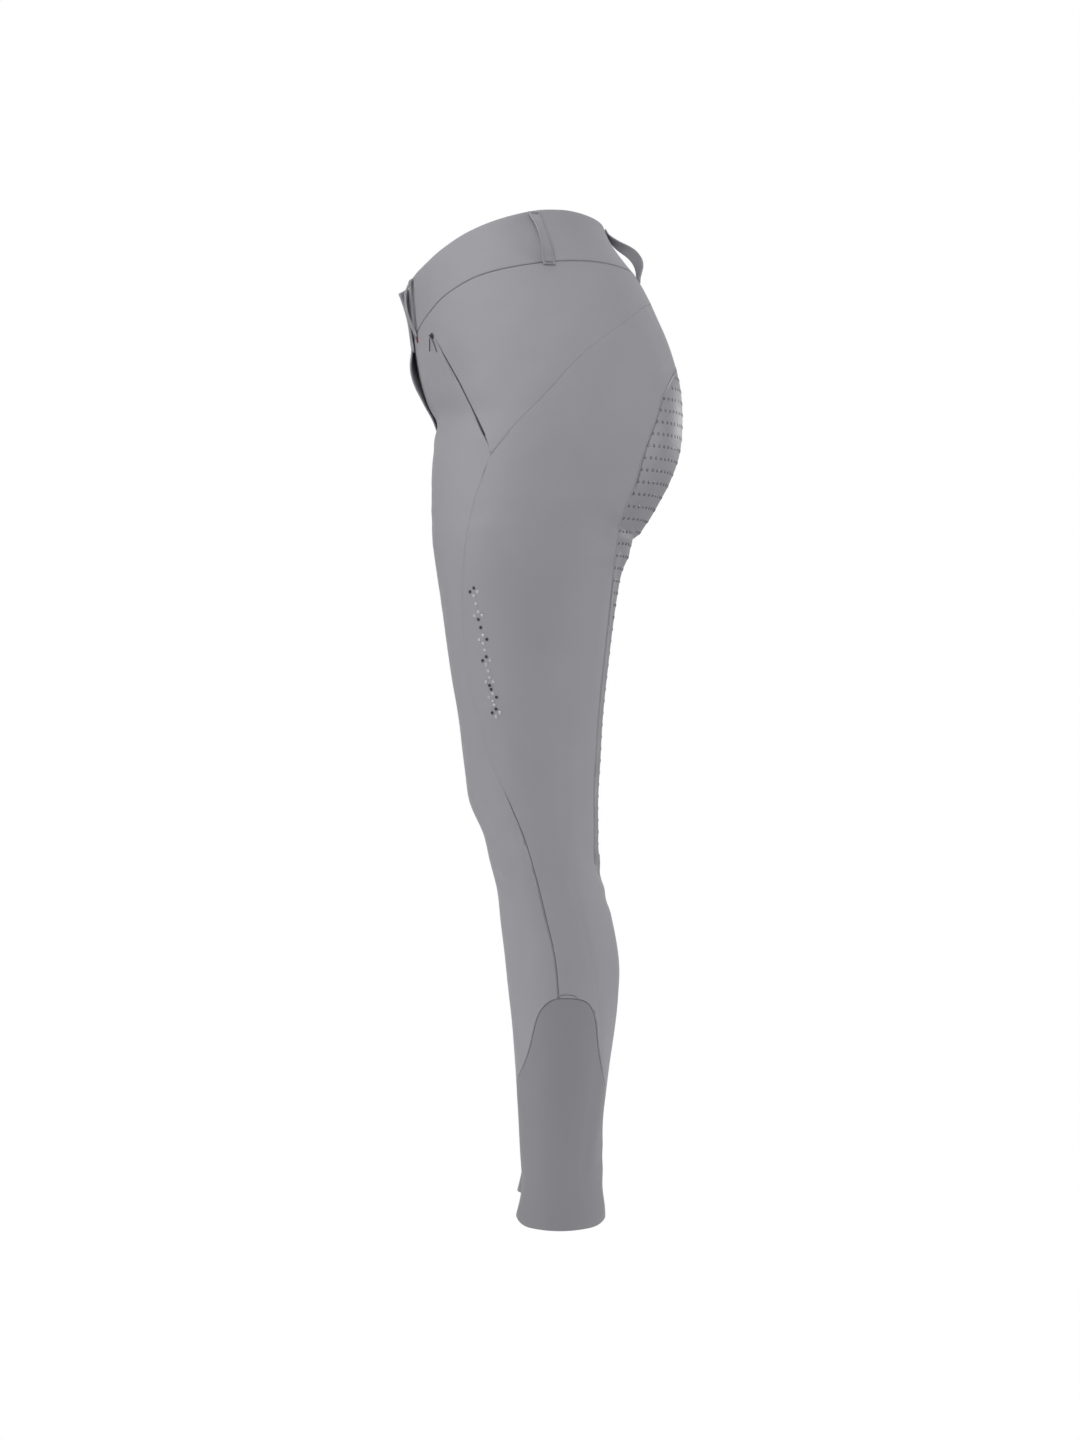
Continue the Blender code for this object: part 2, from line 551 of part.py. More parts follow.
class Cloth:
    """A sheet of four-sided faces that becomes a wall."""

    def __init__(self):
        self.points = []
        self.outward = []
        self.faces = []

    def add(self, place, outward):
        self.points.append(tuple(place))
        self.outward.append(tuple(outward))
        return len(self.points) - 1

    def add_net(self, place, outward, closed=False, shared=None):
        """Add a net of points. shared gives numbers of points that are there already."""
        shared = shared or {}
        rows, columns = place.shape[:2]
        ids = np.array([[shared[i, j] if (i, j) in shared else self.add(place[i, j], outward[i, j])
                         for j in range(columns)] for i in range(rows)])
        for i in range(rows - 1):
            for j in range(columns if closed else columns - 1):
                k = (j + 1) % columns
                self.faces.append((ids[i, j], ids[i + 1, j], ids[i + 1, k], ids[i, k]))
        return ids

    def wall(self, name, thickness, material, mirror=1, outwards=False):
        """Make the wall. Its thickness goes inwards, or outwards from the points."""
        points = np.array(self.points)
        other = points - thickness * np.array(self.outward)
        outer, inner = points, other
        if outwards:
            outer, inner = points + thickness * np.array(self.outward), points
        count = len(points)
        both = np.concatenate([outer, inner])
        both[:, 0] *= mirror
        faces = []
        for a, b, c, d in (tuple(int(v) for v in face) for face in self.faces):
            ac = points[a] - points[c]
            bd = points[b] - points[d]
            if bd @ bd < SHORT_DIAGONAL * (ac @ ac):
                faces += [(a, b, d), (b, c, d)]
            else:
                faces += [(a, b, c), (a, c, d)]
        edges = {}
        for face in faces:
            for a, b in zip(face, face[1:] + face[:1]):
                edges[a, b] = edges.get((a, b), 0) + 1
        rim = [(a, b) for a, b in edges if (b, a) not in edges]
        solid = list(faces)
        solid += [tuple(v + count for v in reversed(face)) for face in faces]
        for a, b in rim:
            solid += [(b, a, a + count), (b, a + count, b + count)]
        if mirror < 0:
            solid = [tuple(reversed(face)) for face in solid]
        return new_object(name, both, solid, material)


def new_object(name, points, faces, material):
    mesh = bpy.data.meshes.new(name)
    mesh.from_pydata([tuple(float(c) for c in p) for p in points], [], faces)
    mesh.validate()
    mesh.shade_smooth()
    mesh.set_sharp_from_angle(angle=pi / 5)
    mesh.materials.append(material)
    thing = bpy.data.objects.new(name, mesh)
    bpy.context.scene.collection.objects.link(thing)
    return thing


def new_material(name, colour, roughness, metallic=0.0):
    material = bpy.data.materials.new(name)
    material.use_nodes = True
    shader = material.node_tree.nodes["Principled BSDF"]
    shader.inputs["Base Color"].default_value = (*colour, 1.0)
    shader.inputs["Roughness"].default_value = roughness
    shader.inputs["Metallic"].default_value = metallic
    return material


def keep_off_centre(place):
    """Hold a net of the left half clear of the middle plane."""
    place[..., 0] = np.maximum(place[..., 0], HALF_SEAM)
    return place


def front_panels(layout, material):
    """Front of the leg, over the hip to the centre back, with the pocket slit."""
    gaps = np.full(LAST_ROW + 1, HALF_SEAM)
    gaps[:POCKET_TOP_ROW + 1] = 0.0
    gaps[POCKET_TOP_ROW + 1:POCKET_FOOT_ROW + 1] = POCKET_SLIT
    front, front_out = calmed(*on_surface(layout.front))
    front = inset(front, "right", gaps)
    front = inset(front, "left", HALF_SEAM)
    front = inset(front, "top", HALF_SEAM)
    front = keep_off_centre(inset(front, "bottom", HALF_SEAM))
    hip, hip_out = on_surface(layout.hip)
    hip = inset(hip, "left", gaps[:JUNCTION_ROW + 1])
    hip = inset(hip, "right", HALF_SEAM)
    hip = inset(hip, "top", HALF_SEAM)
    hip = keep_off_centre(inset(hip, "bottom", HALF_SEAM))
    for side, mirror in SIDES:
        cloth = Cloth()
        ids = cloth.add_net(front, front_out)
        shared = {(i, 0): ids[i, -1] for i in range(POCKET_TOP_ROW + 1)}
        cloth.add_net(hip, hip_out, shared=shared)
        cloth.wall("front_panel_" + side, PANEL_WALL, material, mirror)


def back_panels(layout, material):
    """Seat and back of the leg, from the front leg seam round to the inseam."""
    back, out = calmed(*on_surface(layout.back))
    for edge in ("left", "right", "top", "bottom"):
        back = inset(back, edge, HALF_SEAM)
    back = keep_off_centre(back)
    for side, mirror in SIDES:
        cloth = Cloth()
        cloth.add_net(back, out)
        cloth.wall("back_panel_" + side, PANEL_WALL, material, mirror)
    return back, out


def grips(back, out, material):
    """Printed silicone on the seat and the inner thigh, laid on the points of the back panel."""
    rows = slice(GRIP_FIRST_ROW - JUNCTION_ROW, GRIP_LAST_ROW - JUNCTION_ROW + 1)
    printed = slice(BACK_COLUMNS, BACK_COLUMNS + SEAT_COLUMNS)
    place = back[rows, printed] + GAP * out[rows, printed]
    for side, mirror in SIDES:
        cloth = Cloth()
        cloth.add_net(place, out[rows, printed])
        cloth.wall("seat_grip_" + side, GRIP_WALL, material, mirror, outwards=True)


def cuffs(layout, material):
    """Knitted tube on the lower leg, from the arched seam to the hem."""
    hem_height = interpolator([s for s, _ in HEM], [z for _, z in HEM])
    columns = len(layout.arch)
    points = np.zeros((len(CUFF_SHARES), columns, 2))
    for j, (around, z) in enumerate(layout.arch):
        share = j / columns
        foot = hem_height(share)
        first, last = reach_round(z)
        top_share = (around - first) / (last - first)
        for i, v in enumerate(CUFF_SHARES):
            height = z + (foot - z) * v
            points[i, j] = at_share(height, top_share + (share - top_share) * v), height
    place, out = on_surface(points)
    closed = np.concatenate([place[:, -1:], place, place[:, :1]], axis=1)
    place = inset(closed, "top", GAP)[:, 1:-1]
    for side, mirror in SIDES:
        cloth = Cloth()
        cloth.add_net(place, out, closed=True)
        cloth.wall("cuff_" + side, CUFF_WALL, material, mirror)


def pocket_zips(material):
    """Narrow closed zip behind the pocket slit."""
    line = evenly(marked_line(POCKET_LINE), POCKET_FOOT_ROW)
    points = np.array([[(around + d, z) for d in (-POCKET_TAPE / 2, 0.0, POCKET_TAPE / 2)]
                       for around, z in line])
    place, out = on_surface(points, lift=-(PANEL_WALL + BEHIND_GAP))
    for side, mirror in SIDES:
        cloth = Cloth()
        cloth.add_net(place, out)
        cloth.wall("pocket_zip_" + side, TAPE_WALL, material, mirror)


def pocket_sliders(material, cord_material):
    """Slider at the top of each pocket zip, with a short soft cord through it."""
    z0, depth = SLIDER_AT
    around0 = at_depth(z0, depth)
    steps = np.linspace(-1, 1, 5)
    half = SLIDER_SIZE / 2
    points = np.array([[(around0 + half * u * (1 - SLIDER_ROUNDING * v * v - SLIDER_TAPER * v),
                         z0 - half * v * (1 - SLIDER_ROUNDING * u * u))
                        for u in steps] for v in steps])
    place, out = on_surface(points, lift=LAID_GAP)
    route = [surface(at_depth(m.height, m.depth), m.height)
             + (CORD_RADIUS + LAID_GAP) * normal(at_depth(m.height, m.depth), m.height)
             for m in PULL_ROUTE]
    for side, mirror in SIDES:
        cloth = Cloth()
        cloth.add_net(place, out)
        cloth.wall("pocket_slider_" + side, SLIDER_HEIGHT, material, mirror, outwards=True)
        cord = bpy.data.curves.new("pocket_pull_" + side, "CURVE")
        cord.dimensions = "3D"
        cord.bevel_depth = CORD_RADIUS
        cord.bevel_resolution = 1
        cord.use_fill_caps = True
        spline = cord.splines.new("POLY")
        spline.points.add(len(route) - 1)
        for point, (x, y, z) in zip(spline.points, route):
            point.co = (mirror * x, y, z, 1.0)
        cord.materials.append(cord_material)
        thing = bpy.data.objects.new("pocket_pull_" + side, cord)
        bpy.context.scene.collection.objects.link(thing)


RIM = interpolator([w.share for w in WAIST], [w.rim for w in WAIST])
WAIST_SEAM = interpolator([w.share for w in WAIST], [w.seam for w in WAIST])


def band_column(top, foot, share, lift_top=0.0, lift_foot=0.0, mirror=1, fade=1.0):
    """Points and outward directions down the waistband at one share of the way round."""
    place = []
    outward = []
    for v in np.linspace(0, 1, BAND_ROWS + 1):
        z = top + (foot - top) * v
        around = at_share(z, share)
        out = normal(around, z)
        point = surface(around, z) + (lift_foot + (lift_top - lift_foot) * (1 - v) ** fade) * out
        place.append(point * (mirror, 1, 1))
        outward.append(out * (mirror, 1, 1))
    return place, outward


def waistband(material):
    """Doubled band. It runs from the left end round the back, and the right end laps over."""
    columns = []
    for share in np.linspace(0, 1, BAND_COLUMNS + 1):
        columns.append(band_column(RIM(share), WAIST_SEAM(share) + GAP, share))
    for share in np.linspace(1, 0, BAND_COLUMNS + 1)[1:]:
        lift = LAP_LIFT * smoothstep((LAP_FROM - share) / (LAP_FROM - LAP_FULL))
        columns.append(band_column(RIM(share), WAIST_SEAM(share) + GAP, share, lift, lift, -1))
    for step in np.linspace(0, 1, TAB_COLUMNS + 1)[1:]:
        drop = TAB_DROP * step
        curl = step ** TAB_CURL
        columns.append(band_column(RIM(0) - drop, WAIST_SEAM(0) + GAP - drop, TAB_SHARE * step,
                                   LAP_LIFT + (TAB_TOP_LIFT - LAP_LIFT) * curl,
                                   LAP_LIFT + (TAB_FOOT_LIFT - LAP_LIFT) * curl, fade=TAB_FADE))
    place = np.array([c[0] for c in columns]).transpose(1, 0, 2)
    outward = np.array([c[1] for c in columns]).transpose(1, 0, 2)
    cloth = Cloth()
    cloth.add_net(place, outward)
    cloth.wall("waistband", BAND_WALL, material)


def fly_flap(material):
    """Flap from the right front over the fly. Its free edge stands off the left front."""
    place = []
    outward = []
    for v in np.linspace(0, 1, FLAP_ROWS + 1):
        width = FLAP_WIDTH * (1 - v ** FLAP_CURVE) + FLAP_FOOT_WIDTH * v ** FLAP_CURVE
        row = []
        for u in np.linspace(0, 1, FLAP_COLUMNS + 1):
            x = -FLAP_SEAM + (width + FLAP_SEAM) * u
            top = WAIST_SEAM(0) - 2 * GAP - TAB_DROP * max(x, 0) / FLAP_WIDTH
            z = top + (FLAP_FOOT - top) * v
            stand = FLAP_STAND * sin(pi * v ** FLAP_STAND_HIGH) ** 2 * max(x, 0) / FLAP_WIDTH
            row.append((x, LEVEL["front"](z) - FLAP_WALL - FLAP_GAP - stand, z))
        place.append(row)
        outward.append([(0.0, -1.0, 0.0)] * len(row))
    cloth = Cloth()
    cloth.add_net(np.array(place), np.array(outward))
    cloth.wall("fly_flap", FLAP_WALL, material)


def fly_zip(material):
    """Plain closed zip behind the front edges."""
    heights = np.linspace(WAIST_SEAM(0) - 4 * GAP, FLY_ZIP_FOOT, FLY_ZIP_ROWS + 1)
    points = np.array([[(reach_round(z)[0] + d, z) for d in (-FLY_TAPE / 2, 0.0, FLY_TAPE / 2)]
                       for z in heights])
    place, out = on_surface(points, lift=-(PANEL_WALL + 2 * GAP))
    cloth = Cloth()
    cloth.add_net(place, out)
    cloth.wall("fly_zip", TAPE_WALL, material)


def belt_loop(name, loop, material, mirror=1):
    """Strap sewn at both ends. It bows out in the middle and turns about its length."""
    place = []
    outward = []
    for w in np.linspace(0, 1, LOOP_ROWS + 1):
        share = loop.top_share + (loop.foot_share - loop.top_share) * w
        top = RIM(loop.top_share) - LOOP_BELOW_RIM
        foot = WAIST_SEAM(loop.foot_share) - LOOP_BELOW_SEAM
        z = top + (foot - top) * w
        around = at_share(z, share)
        out = normal(around, z)
        across = surface(around + 0.001, z) - surface(around - 0.001, z)
        across /= sqrt(across @ across)
        free = min(max((w - LOOP_SEWN) / (1 - 2 * LOOP_SEWN), 0.0), 1.0)
        bow = sin(pi * free ** loop.sag) ** LOOP_BOW
        turn = loop.turn * bow
        centre = surface(around, z) + (GAP + LOOP_WALL + loop.stand * bow) * out
        sideways = cos(turn) * across + sin(turn) * out
        facing = cos(turn) * out - sin(turn) * across
        place.append([centre + d * LOOP_WIDTH * sideways for d in (-0.5, 0.0, 0.5)])
        outward.append([facing] * 3)
    cloth = Cloth()
    cloth.add_net(np.array(place), np.array(outward))
    cloth.wall(name, LOOP_WALL, material, mirror)


def belt_loops(material):
    for name, loop in LOOPS:
        if loop.top_share == 1.0:
            belt_loop("belt_loop_" + name, loop, material)
            continue
        for side, mirror in SIDES:
            belt_loop("belt_loop_%s_%s" % (name, side), loop, material, mirror)


def front_tab(material):
    """Small plain tab at the foot of the left front belt loop."""
    front = dict(LOOPS)["front"]
    top = WAIST_SEAM(front.foot_share) - LOOP_BELOW_SEAM - GAP
    points = np.array([[(at_share(z, front.foot_share) + d, z)
                        for d in (-TAB_WIDTH / 2, 0.0, TAB_WIDTH / 2)]
                       for z in np.linspace(top, top - TAB_LENGTH, 3)])
    place, out = on_surface(points, lift=LAID_GAP)
    cloth = Cloth()
    cloth.add_net(place, out)
    cloth.wall("front_tab", TAPE_WALL, material, outwards=True)


def clear_scene():
    for thing in list(bpy.data.objects):
        bpy.data.objects.remove(thing, do_unlink=True)


def build():
    clear_scene()
    cloth = new_material("stretch_cloth", (0.33, 0.33, 0.35), 0.7)
    knit = new_material("cuff_knit", (0.24, 0.24, 0.26), 0.75)
    silicone = new_material("grip_silicone", (0.30, 0.30, 0.32), 0.35)
    tape = new_material("zip_tape", (0.20, 0.20, 0.21), 0.6)
    dark = new_material("slider_enamel", (0.06, 0.06, 0.065), 0.4, 0.6)
    red = new_material("plain_tab", (0.22, 0.03, 0.04), 0.7)
    layout = Layout()
    front_panels(layout, cloth)
    back, out = back_panels(layout, cloth)
    grips(back, out, silicone)
    cuffs(layout, knit)
    waistband(cloth)
    fly_flap(cloth)
    fly_zip(tape)
    pocket_zips(tape)
    pocket_sliders(dark, tape)
    belt_loops(cloth)
    front_tab(red)


build()
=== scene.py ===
from collections import namedtuple
from math import cos, degrees, pi, radians, sin

import bmesh
import bpy
import numpy as np
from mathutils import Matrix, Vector
from mathutils.bvhtree import BVHTree


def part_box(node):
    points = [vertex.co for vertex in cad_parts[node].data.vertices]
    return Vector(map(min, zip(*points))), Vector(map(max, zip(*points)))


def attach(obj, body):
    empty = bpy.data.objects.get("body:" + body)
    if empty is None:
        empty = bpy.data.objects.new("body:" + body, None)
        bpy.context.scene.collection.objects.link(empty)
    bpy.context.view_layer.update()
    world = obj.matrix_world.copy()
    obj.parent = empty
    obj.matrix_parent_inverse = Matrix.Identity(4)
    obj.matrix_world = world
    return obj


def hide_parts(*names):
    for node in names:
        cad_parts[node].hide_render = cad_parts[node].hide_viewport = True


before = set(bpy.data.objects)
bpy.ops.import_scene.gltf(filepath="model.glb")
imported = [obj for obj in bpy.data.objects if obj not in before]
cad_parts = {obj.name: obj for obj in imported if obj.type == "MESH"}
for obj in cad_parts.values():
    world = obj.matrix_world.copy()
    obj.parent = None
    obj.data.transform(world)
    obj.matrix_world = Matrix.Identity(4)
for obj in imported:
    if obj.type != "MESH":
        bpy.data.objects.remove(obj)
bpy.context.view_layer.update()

# ---------------------------------------------------------------------------------------------
# Front panels. One piece of smooth bonded stretch cloth for each side: the front of the leg, cut
# in one with the hip, which runs back over the yoke seam to the centre back. The edge of the
# pocket is a slit with folded edges. All other edges turn in where they are sewn.

PANEL_WALL = 0.0015
PANEL_LEVELS = 3
FITTING_PASSES = 14
CORNER_TURN = radians(50)

# The line that a leg's cloth goes round: height, distance out from the middle, distance back
AxisPoint = namedtuple("AxisPoint", "height out back")
LEG_AXIS = (AxisPoint(-0.92, 0.077, 0.049), AxisPoint(-0.80, 0.077, 0.051),
            AxisPoint(-0.69, 0.078, 0.052), AxisPoint(-0.60, 0.080, 0.038),
            AxisPoint(-0.52, 0.082, 0.025), AxisPoint(-0.40, 0.086, 0.020),
            AxisPoint(-0.27, 0.088, 0.032), AxisPoint(-0.15, 0.085, 0.035),
            AxisPoint(0.04, 0.060, 0.010))

# A crease from one place on a leg to another, bowed down in its middle. Bearings are in degrees
# round the leg: 0 in front, 90 outside, 180 behind. A depth under 0 is a ridge.
Crease = namedtuple("Crease", "side bearing height to_bearing to_height bow width depth")
CREASES = (
    # thigh and hip
    Crease(1, 126, -0.270, 120, -0.500, 0.000, 0.0150, 0.0011),
    Crease(1, 70, -0.290, 58, -0.410, 0.000, 0.0200, 0.0006),
    Crease(-1, 128, -0.300, 118, -0.480, 0.000, 0.0160, 0.0010),
    Crease(-1, 66, -0.270, 60, -0.430, 0.000, 0.0180, 0.0007),
    Crease(1, 60, -0.070, 98, -0.110, 0.006, 0.0120, 0.0005),
    Crease(-1, 64, -0.075, 104, -0.105, 0.007, 0.0110, 0.0006),
    # the hip fold in front
    Crease(1, -58, -0.166, 22, -0.157, 0.004, 0.0110, -0.0013),
    Crease(1, 34, -0.150, 66, -0.159, 0.003, 0.0090, 0.0006),
    Crease(-1, -52, -0.160, 30, -0.169, 0.005, 0.0120, -0.0012),
    Crease(-1, 28, -0.156, 62, -0.149, 0.003, 0.0090, 0.0007),
    # from the crotch forwards and round the inner thigh
    Crease(1, -42, -0.236, -4, -0.196, 0.004, 0.0060, 0.0013),
    Crease(1, -56, -0.262, -14, -0.238, 0.005, 0.0070, 0.0012),
    Crease(1, -66, -0.300, -28, -0.281, 0.006, 0.0085, 0.0008),
    Crease(-1, -40, -0.230, -8, -0.199, 0.005, 0.0065, 0.0012),
    Crease(-1, -58, -0.268, -10, -0.233, 0.005, 0.0065, 0.0013),
    Crease(-1, -70, -0.312, -30, -0.286, 0.006, 0.0090, 0.0008),
    # under the seat
    Crease(1, 132, -0.2570, 204, -0.2605, 0.003, 0.0056, 0.0030),
    Crease(-1, 138, -0.2580, 202, -0.2600, 0.003, 0.0053, 0.0027),
    Crease(1, 152, -0.272, 222, -0.262, 0.006, 0.0060, 0.0012),
    Crease(1, 170, -0.300, 228, -0.292, 0.004, 0.0080, 0.0007),
    Crease(-1, 149, -0.274, 224, -0.261, 0.007, 0.0062, 0.0013),
    Crease(-1, 174, -0.297, 230, -0.289, 0.004, 0.0080, 0.0006),
    # round the knee
    Crease(1, 8, -0.545, 62, -0.556, -0.003, 0.0070, 0.0006),
    Crease(1, 14, -0.588, 50, -0.597, -0.002, 0.0055, 0.0009),
    Crease(1, 22, -0.604, 46, -0.607, -0.002, 0.0050, -0.0005),
    Crease(1, 42, -0.579, 60, -0.584, 0.001, 0.0042, 0.0005),
    Crease(1, 148, -0.578, 214, -0.586, 0.004, 0.0065, 0.0012),
    Crease(1, 156, -0.602, 206, -0.612, 0.004, 0.0060, 0.0009),
    Crease(1, 168, -0.556, 222, -0.561, 0.003, 0.0070, 0.0006),
    Crease(-1, 4, -0.549, 58, -0.553, -0.003, 0.0070, 0.0007),
    Crease(-1, 16, -0.592, 54, -0.602, -0.002, 0.0058, 0.0008),
    Crease(-1, 144, -0.583, 212, -0.579, 0.005, 0.0065, 0.0012),
    Crease(-1, 158, -0.609, 210, -0.604, 0.003, 0.0062, 0.0008),
    Crease(-1, 172, -0.552, 224, -0.559, 0.003, 0.0070, 0.0006),
    # calf and ankle
    Crease(1, 132, -0.742, 176, -0.756, 0.002, 0.0090, 0.0005),
    Crease(1, 20, -0.838, 96, -0.846, 0.002, 0.0065, 0.0004),
    Crease(1, 150, -0.856, 232, -0.850, 0.002, 0.0065, 0.0005),
    Crease(1, -80, -0.866, -10, -0.872, 0.002, 0.0060, 0.0004),
    Crease(-1, 128, -0.748, 180, -0.752, 0.002, 0.0090, 0.0005),
    Crease(-1, 34, -0.842, 112, -0.850, 0.002, 0.0065, 0.0004),
    Crease(-1, 160, -0.862, 236, -0.855, 0.002, 0.0062, 0.0005),
    Crease(-1, -70, -0.852, 4, -0.861, 0.002, 0.0062, 0.0004),
)
CREASE_STEPS = 18
SHOULDER = 0.32

# Rows of an edge from the outer face to the inner one: how far in, how deep
SEWN_EDGE = ((0.0011, 0.0), (0.0006, 0.00007), (0.0002, 0.0003), (0.0, 0.0007), (0.0, 0.0015))


def unit(vectors):
    """Each vector at length 1."""
    return vectors / np.maximum(np.sqrt((vectors ** 2).sum(axis=-1, keepdims=True)), 1e-12)


def lengths(path):
    """Distance along a line of points, from its start."""
    steps = np.sqrt((np.diff(path, axis=0) ** 2).sum(axis=1))
    return np.concatenate([[0.0], np.cumsum(steps)])


def outer_face(node, wall):
    """Points and triangles of the outer face of a piece, from its solid."""
    mesh = bmesh.new()
    mesh.from_mesh(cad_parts[node].data)
    bmesh.ops.remove_doubles(mesh, verts=mesh.verts, dist=2e-6)
    across = [face for face in mesh.faces
              if any(abs(edge.calc_length() - wall) < 0.02 * wall for edge in face.edges)]
    bmesh.ops.delete(mesh, geom=across, context="FACES")
    middle = Vector((0.08 * side_of(node), 0.03, 0.0))
    best, kept = 0.0, []
    unseen = set(mesh.faces)
    while unseen:
        first = unseen.pop()
        sheet, waiting = [first], [first]
        while waiting:
            for edge in waiting.pop().edges:
                for face in edge.link_faces:
                    if face in unseen:
                        unseen.remove(face)
                        sheet.append(face)
                        waiting.append(face)
        facing = 0.0
        for face in sheet:
            away = face.calc_center_median() - middle
            away.z = 0.0
            facing += face.calc_area() * face.normal.dot(away)
        if facing > best:
            best, kept = facing, sheet
    corners = sorted({vert for face in kept for vert in face.verts}, key=lambda vert: vert.index)
    number = {vert: i for i, vert in enumerate(corners)}
    points = np.array([vert.co for vert in corners], float)
    triangles = np.array([[number[vert] for vert in face.verts] for face in kept])
    mesh.free()
    return points, triangles


def side_of(node):
    """1 for a piece of the left side, -1 for the right, 0 for one across the middle."""
    return {"_L": 1, "_R": -1}.get(node[-2:], 0)


def edge_list(triangles, count):
    """Every edge once, the edges of each triangle, and which edges are open."""
    pairs = np.concatenate([triangles[:, [0, 1]], triangles[:, [1, 2]], triangles[:, [2, 0]]])
    keys, which, uses = np.unique(pairs.min(axis=1) * count + pairs.max(axis=1),
                                  return_inverse=True, return_counts=True)
    return np.stack([keys // count, keys % count], axis=1), which.reshape(3, -1), uses == 1


def open_loops(triangles, count):
    """The open edges as closed lines of point numbers, with the cloth on their left."""
    pairs = np.concatenate([triangles[:, [0, 1]], triangles[:, [1, 2]], triangles[:, [2, 0]]])
    keys = pairs[:, 0] * count + pairs[:, 1]
    back = pairs[:, 1] * count + pairs[:, 0]
    following = dict(pairs[~np.isin(keys, back)].tolist())
    loops = []
    while following:
        start = next(iter(following))
        loop = [start]
        point = following.pop(start)
        while point != start:
            loop.append(point)
            point = following.pop(point)
        loops.append(np.array(loop))
    return loops


def eased(points, edges, is_open, corners, share, share_on_edge):
    """Move each point towards its neighbours, and on an open edge only towards those along it."""
    total = np.zeros_like(points)
    number = np.zeros(len(points))
    along = np.zeros_like(points)
    rim = edges[is_open]
    for a, b in ((0, 1), (1, 0)):
        np.add.at(total, edges[:, a], points[edges[:, b]])
        np.add.at(number, edges[:, a], 1)
        np.add.at(along, rim[:, a], points[rim[:, b]])
    weight = share(number)[:, None]
    moved = points * (1 - number[:, None] * weight) + weight * total
    on_rim = np.unique(rim)
    moved[on_rim] = points[on_rim] * (1 - 2 * share_on_edge) + share_on_edge * along[on_rim]
    moved[corners] = points[corners]
    return moved


def step_share(number):
    return np.where(number == 3, 3 / 16, 3 / (8 * np.maximum(number, 3)))


def limit_share(number):
    return np.where(number == 3, 1 / 5, 1 / (2 * np.maximum(number, 3)))


def halved(points, triangles, corners):
    """Split every triangle in four, and round the sheet off between its corners."""
    count = len(points)
    edges, sides, is_open = edge_list(triangles, count)
    opposite = np.zeros((len(edges), 3))
    for side, corner in zip(sides, (2, 0, 1)):
        np.add.at(opposite, side, points[triangles[:, corner]])
    middles = 0.375 * points[edges].sum(axis=1) + 0.125 * opposite
    middles[is_open] = points[edges[is_open]].mean(axis=1)
    moved = eased(points, edges, is_open, corners, step_share, 1 / 8)
    a, b, c = triangles.T
    ab, bc, ca = sides + count
    split = [np.stack(three, axis=1) for three in ((a, ab, ca), (b, bc, ab), (c, ca, bc), (ab, bc, ca))]
    return np.concatenate([moved, middles]), np.concatenate(split)


class Skin:
    """The outer face of a piece of cloth, rounded off between the points of its solid."""

    def __init__(self, node, wall, levels):
        given, self.triangles = outer_face(node, wall)
        corners = self.sharp_corners(given)
        edges, _, is_open = edge_list(self.triangles, len(given))
        self.points = given.copy()
        for _ in range(FITTING_PASSES):
            self.points += given - eased(self.points, edges, is_open, corners, limit_share, 1 / 6)
        for _ in range(levels):
            self.points, self.triangles = halved(self.points, self.triangles, corners)
        edges, _, is_open = edge_list(self.triangles, len(self.points))
        self.points = eased(self.points, edges, is_open, corners, limit_share, 1 / 6)
        self.corners = self.points[corners]

    def sharp_corners(self, points):
        found = []
        for loop in open_loops(self.triangles, len(points)):
            ahead = unit(points[np.roll(loop, -1)] - points[loop])
            turn = np.arccos(np.clip((ahead * np.roll(ahead, 1, axis=0)).sum(axis=1), -1, 1))
            found.append(loop[turn > CORNER_TURN])
        return np.concatenate(found)

    def out(self):
        """The direction out of the cloth at each point."""
        a, b, c = (self.points[self.triangles[:, k]] for k in range(3))
        square = np.cross(b - a, c - a)
        total = np.zeros_like(self.points)
        for k in range(3):
            np.add.at(total, self.triangles[:, k], square)
        return unit(total)

    def loops(self):
        return open_loops(self.triangles, len(self.points))

    def tree(self):
        return BVHTree.FromPolygons(self.points.tolist(), self.triangles.tolist())

    def edge_between(self, start, end):
        """The shorter way along the longest open edge between its points nearest two places."""
        loop = max(self.loops(), key=len)
        line = self.points[loop]
        i, j = (int(((line - place) ** 2).sum(axis=1).argmin()) for place in (start, end))
        forwards = np.roll(loop, -i)[:(j - i) % len(loop) + 1]
        backwards = np.roll(loop, -j)[:(i - j) % len(loop) + 1][::-1]
        return min(forwards, backwards, key=lambda way: lengths(self.points[way])[-1])

    def long_edges(self):
        """Both long edges of a strip, each from its top to its foot."""
        ends = self.corners[self.corners[:, 2].argsort()]
        feet, tops = ends[:2], ends[-2:]
        if np.hypot(*(feet[0] - tops[0])[:2]) > np.hypot(*(feet[0] - tops[1])[:2]):
            tops = tops[::-1]
        return [self.edge_between(top, foot) for top, foot in zip(tops, feet)]


def bearings(points, side):
    """Degrees round the leg, and the distance from its axis, of each point."""
    heights = [p.height for p in LEG_AXIS]
    out = np.interp(points[:, 2], heights, [p.out for p in LEG_AXIS])
    back = np.interp(points[:, 2], heights, [p.back for p in LEG_AXIS])
    x = points[:, 0] * side - out
    y = points[:, 1] - back
    return np.degrees(np.arctan2(x, -y)), np.hypot(x, y)


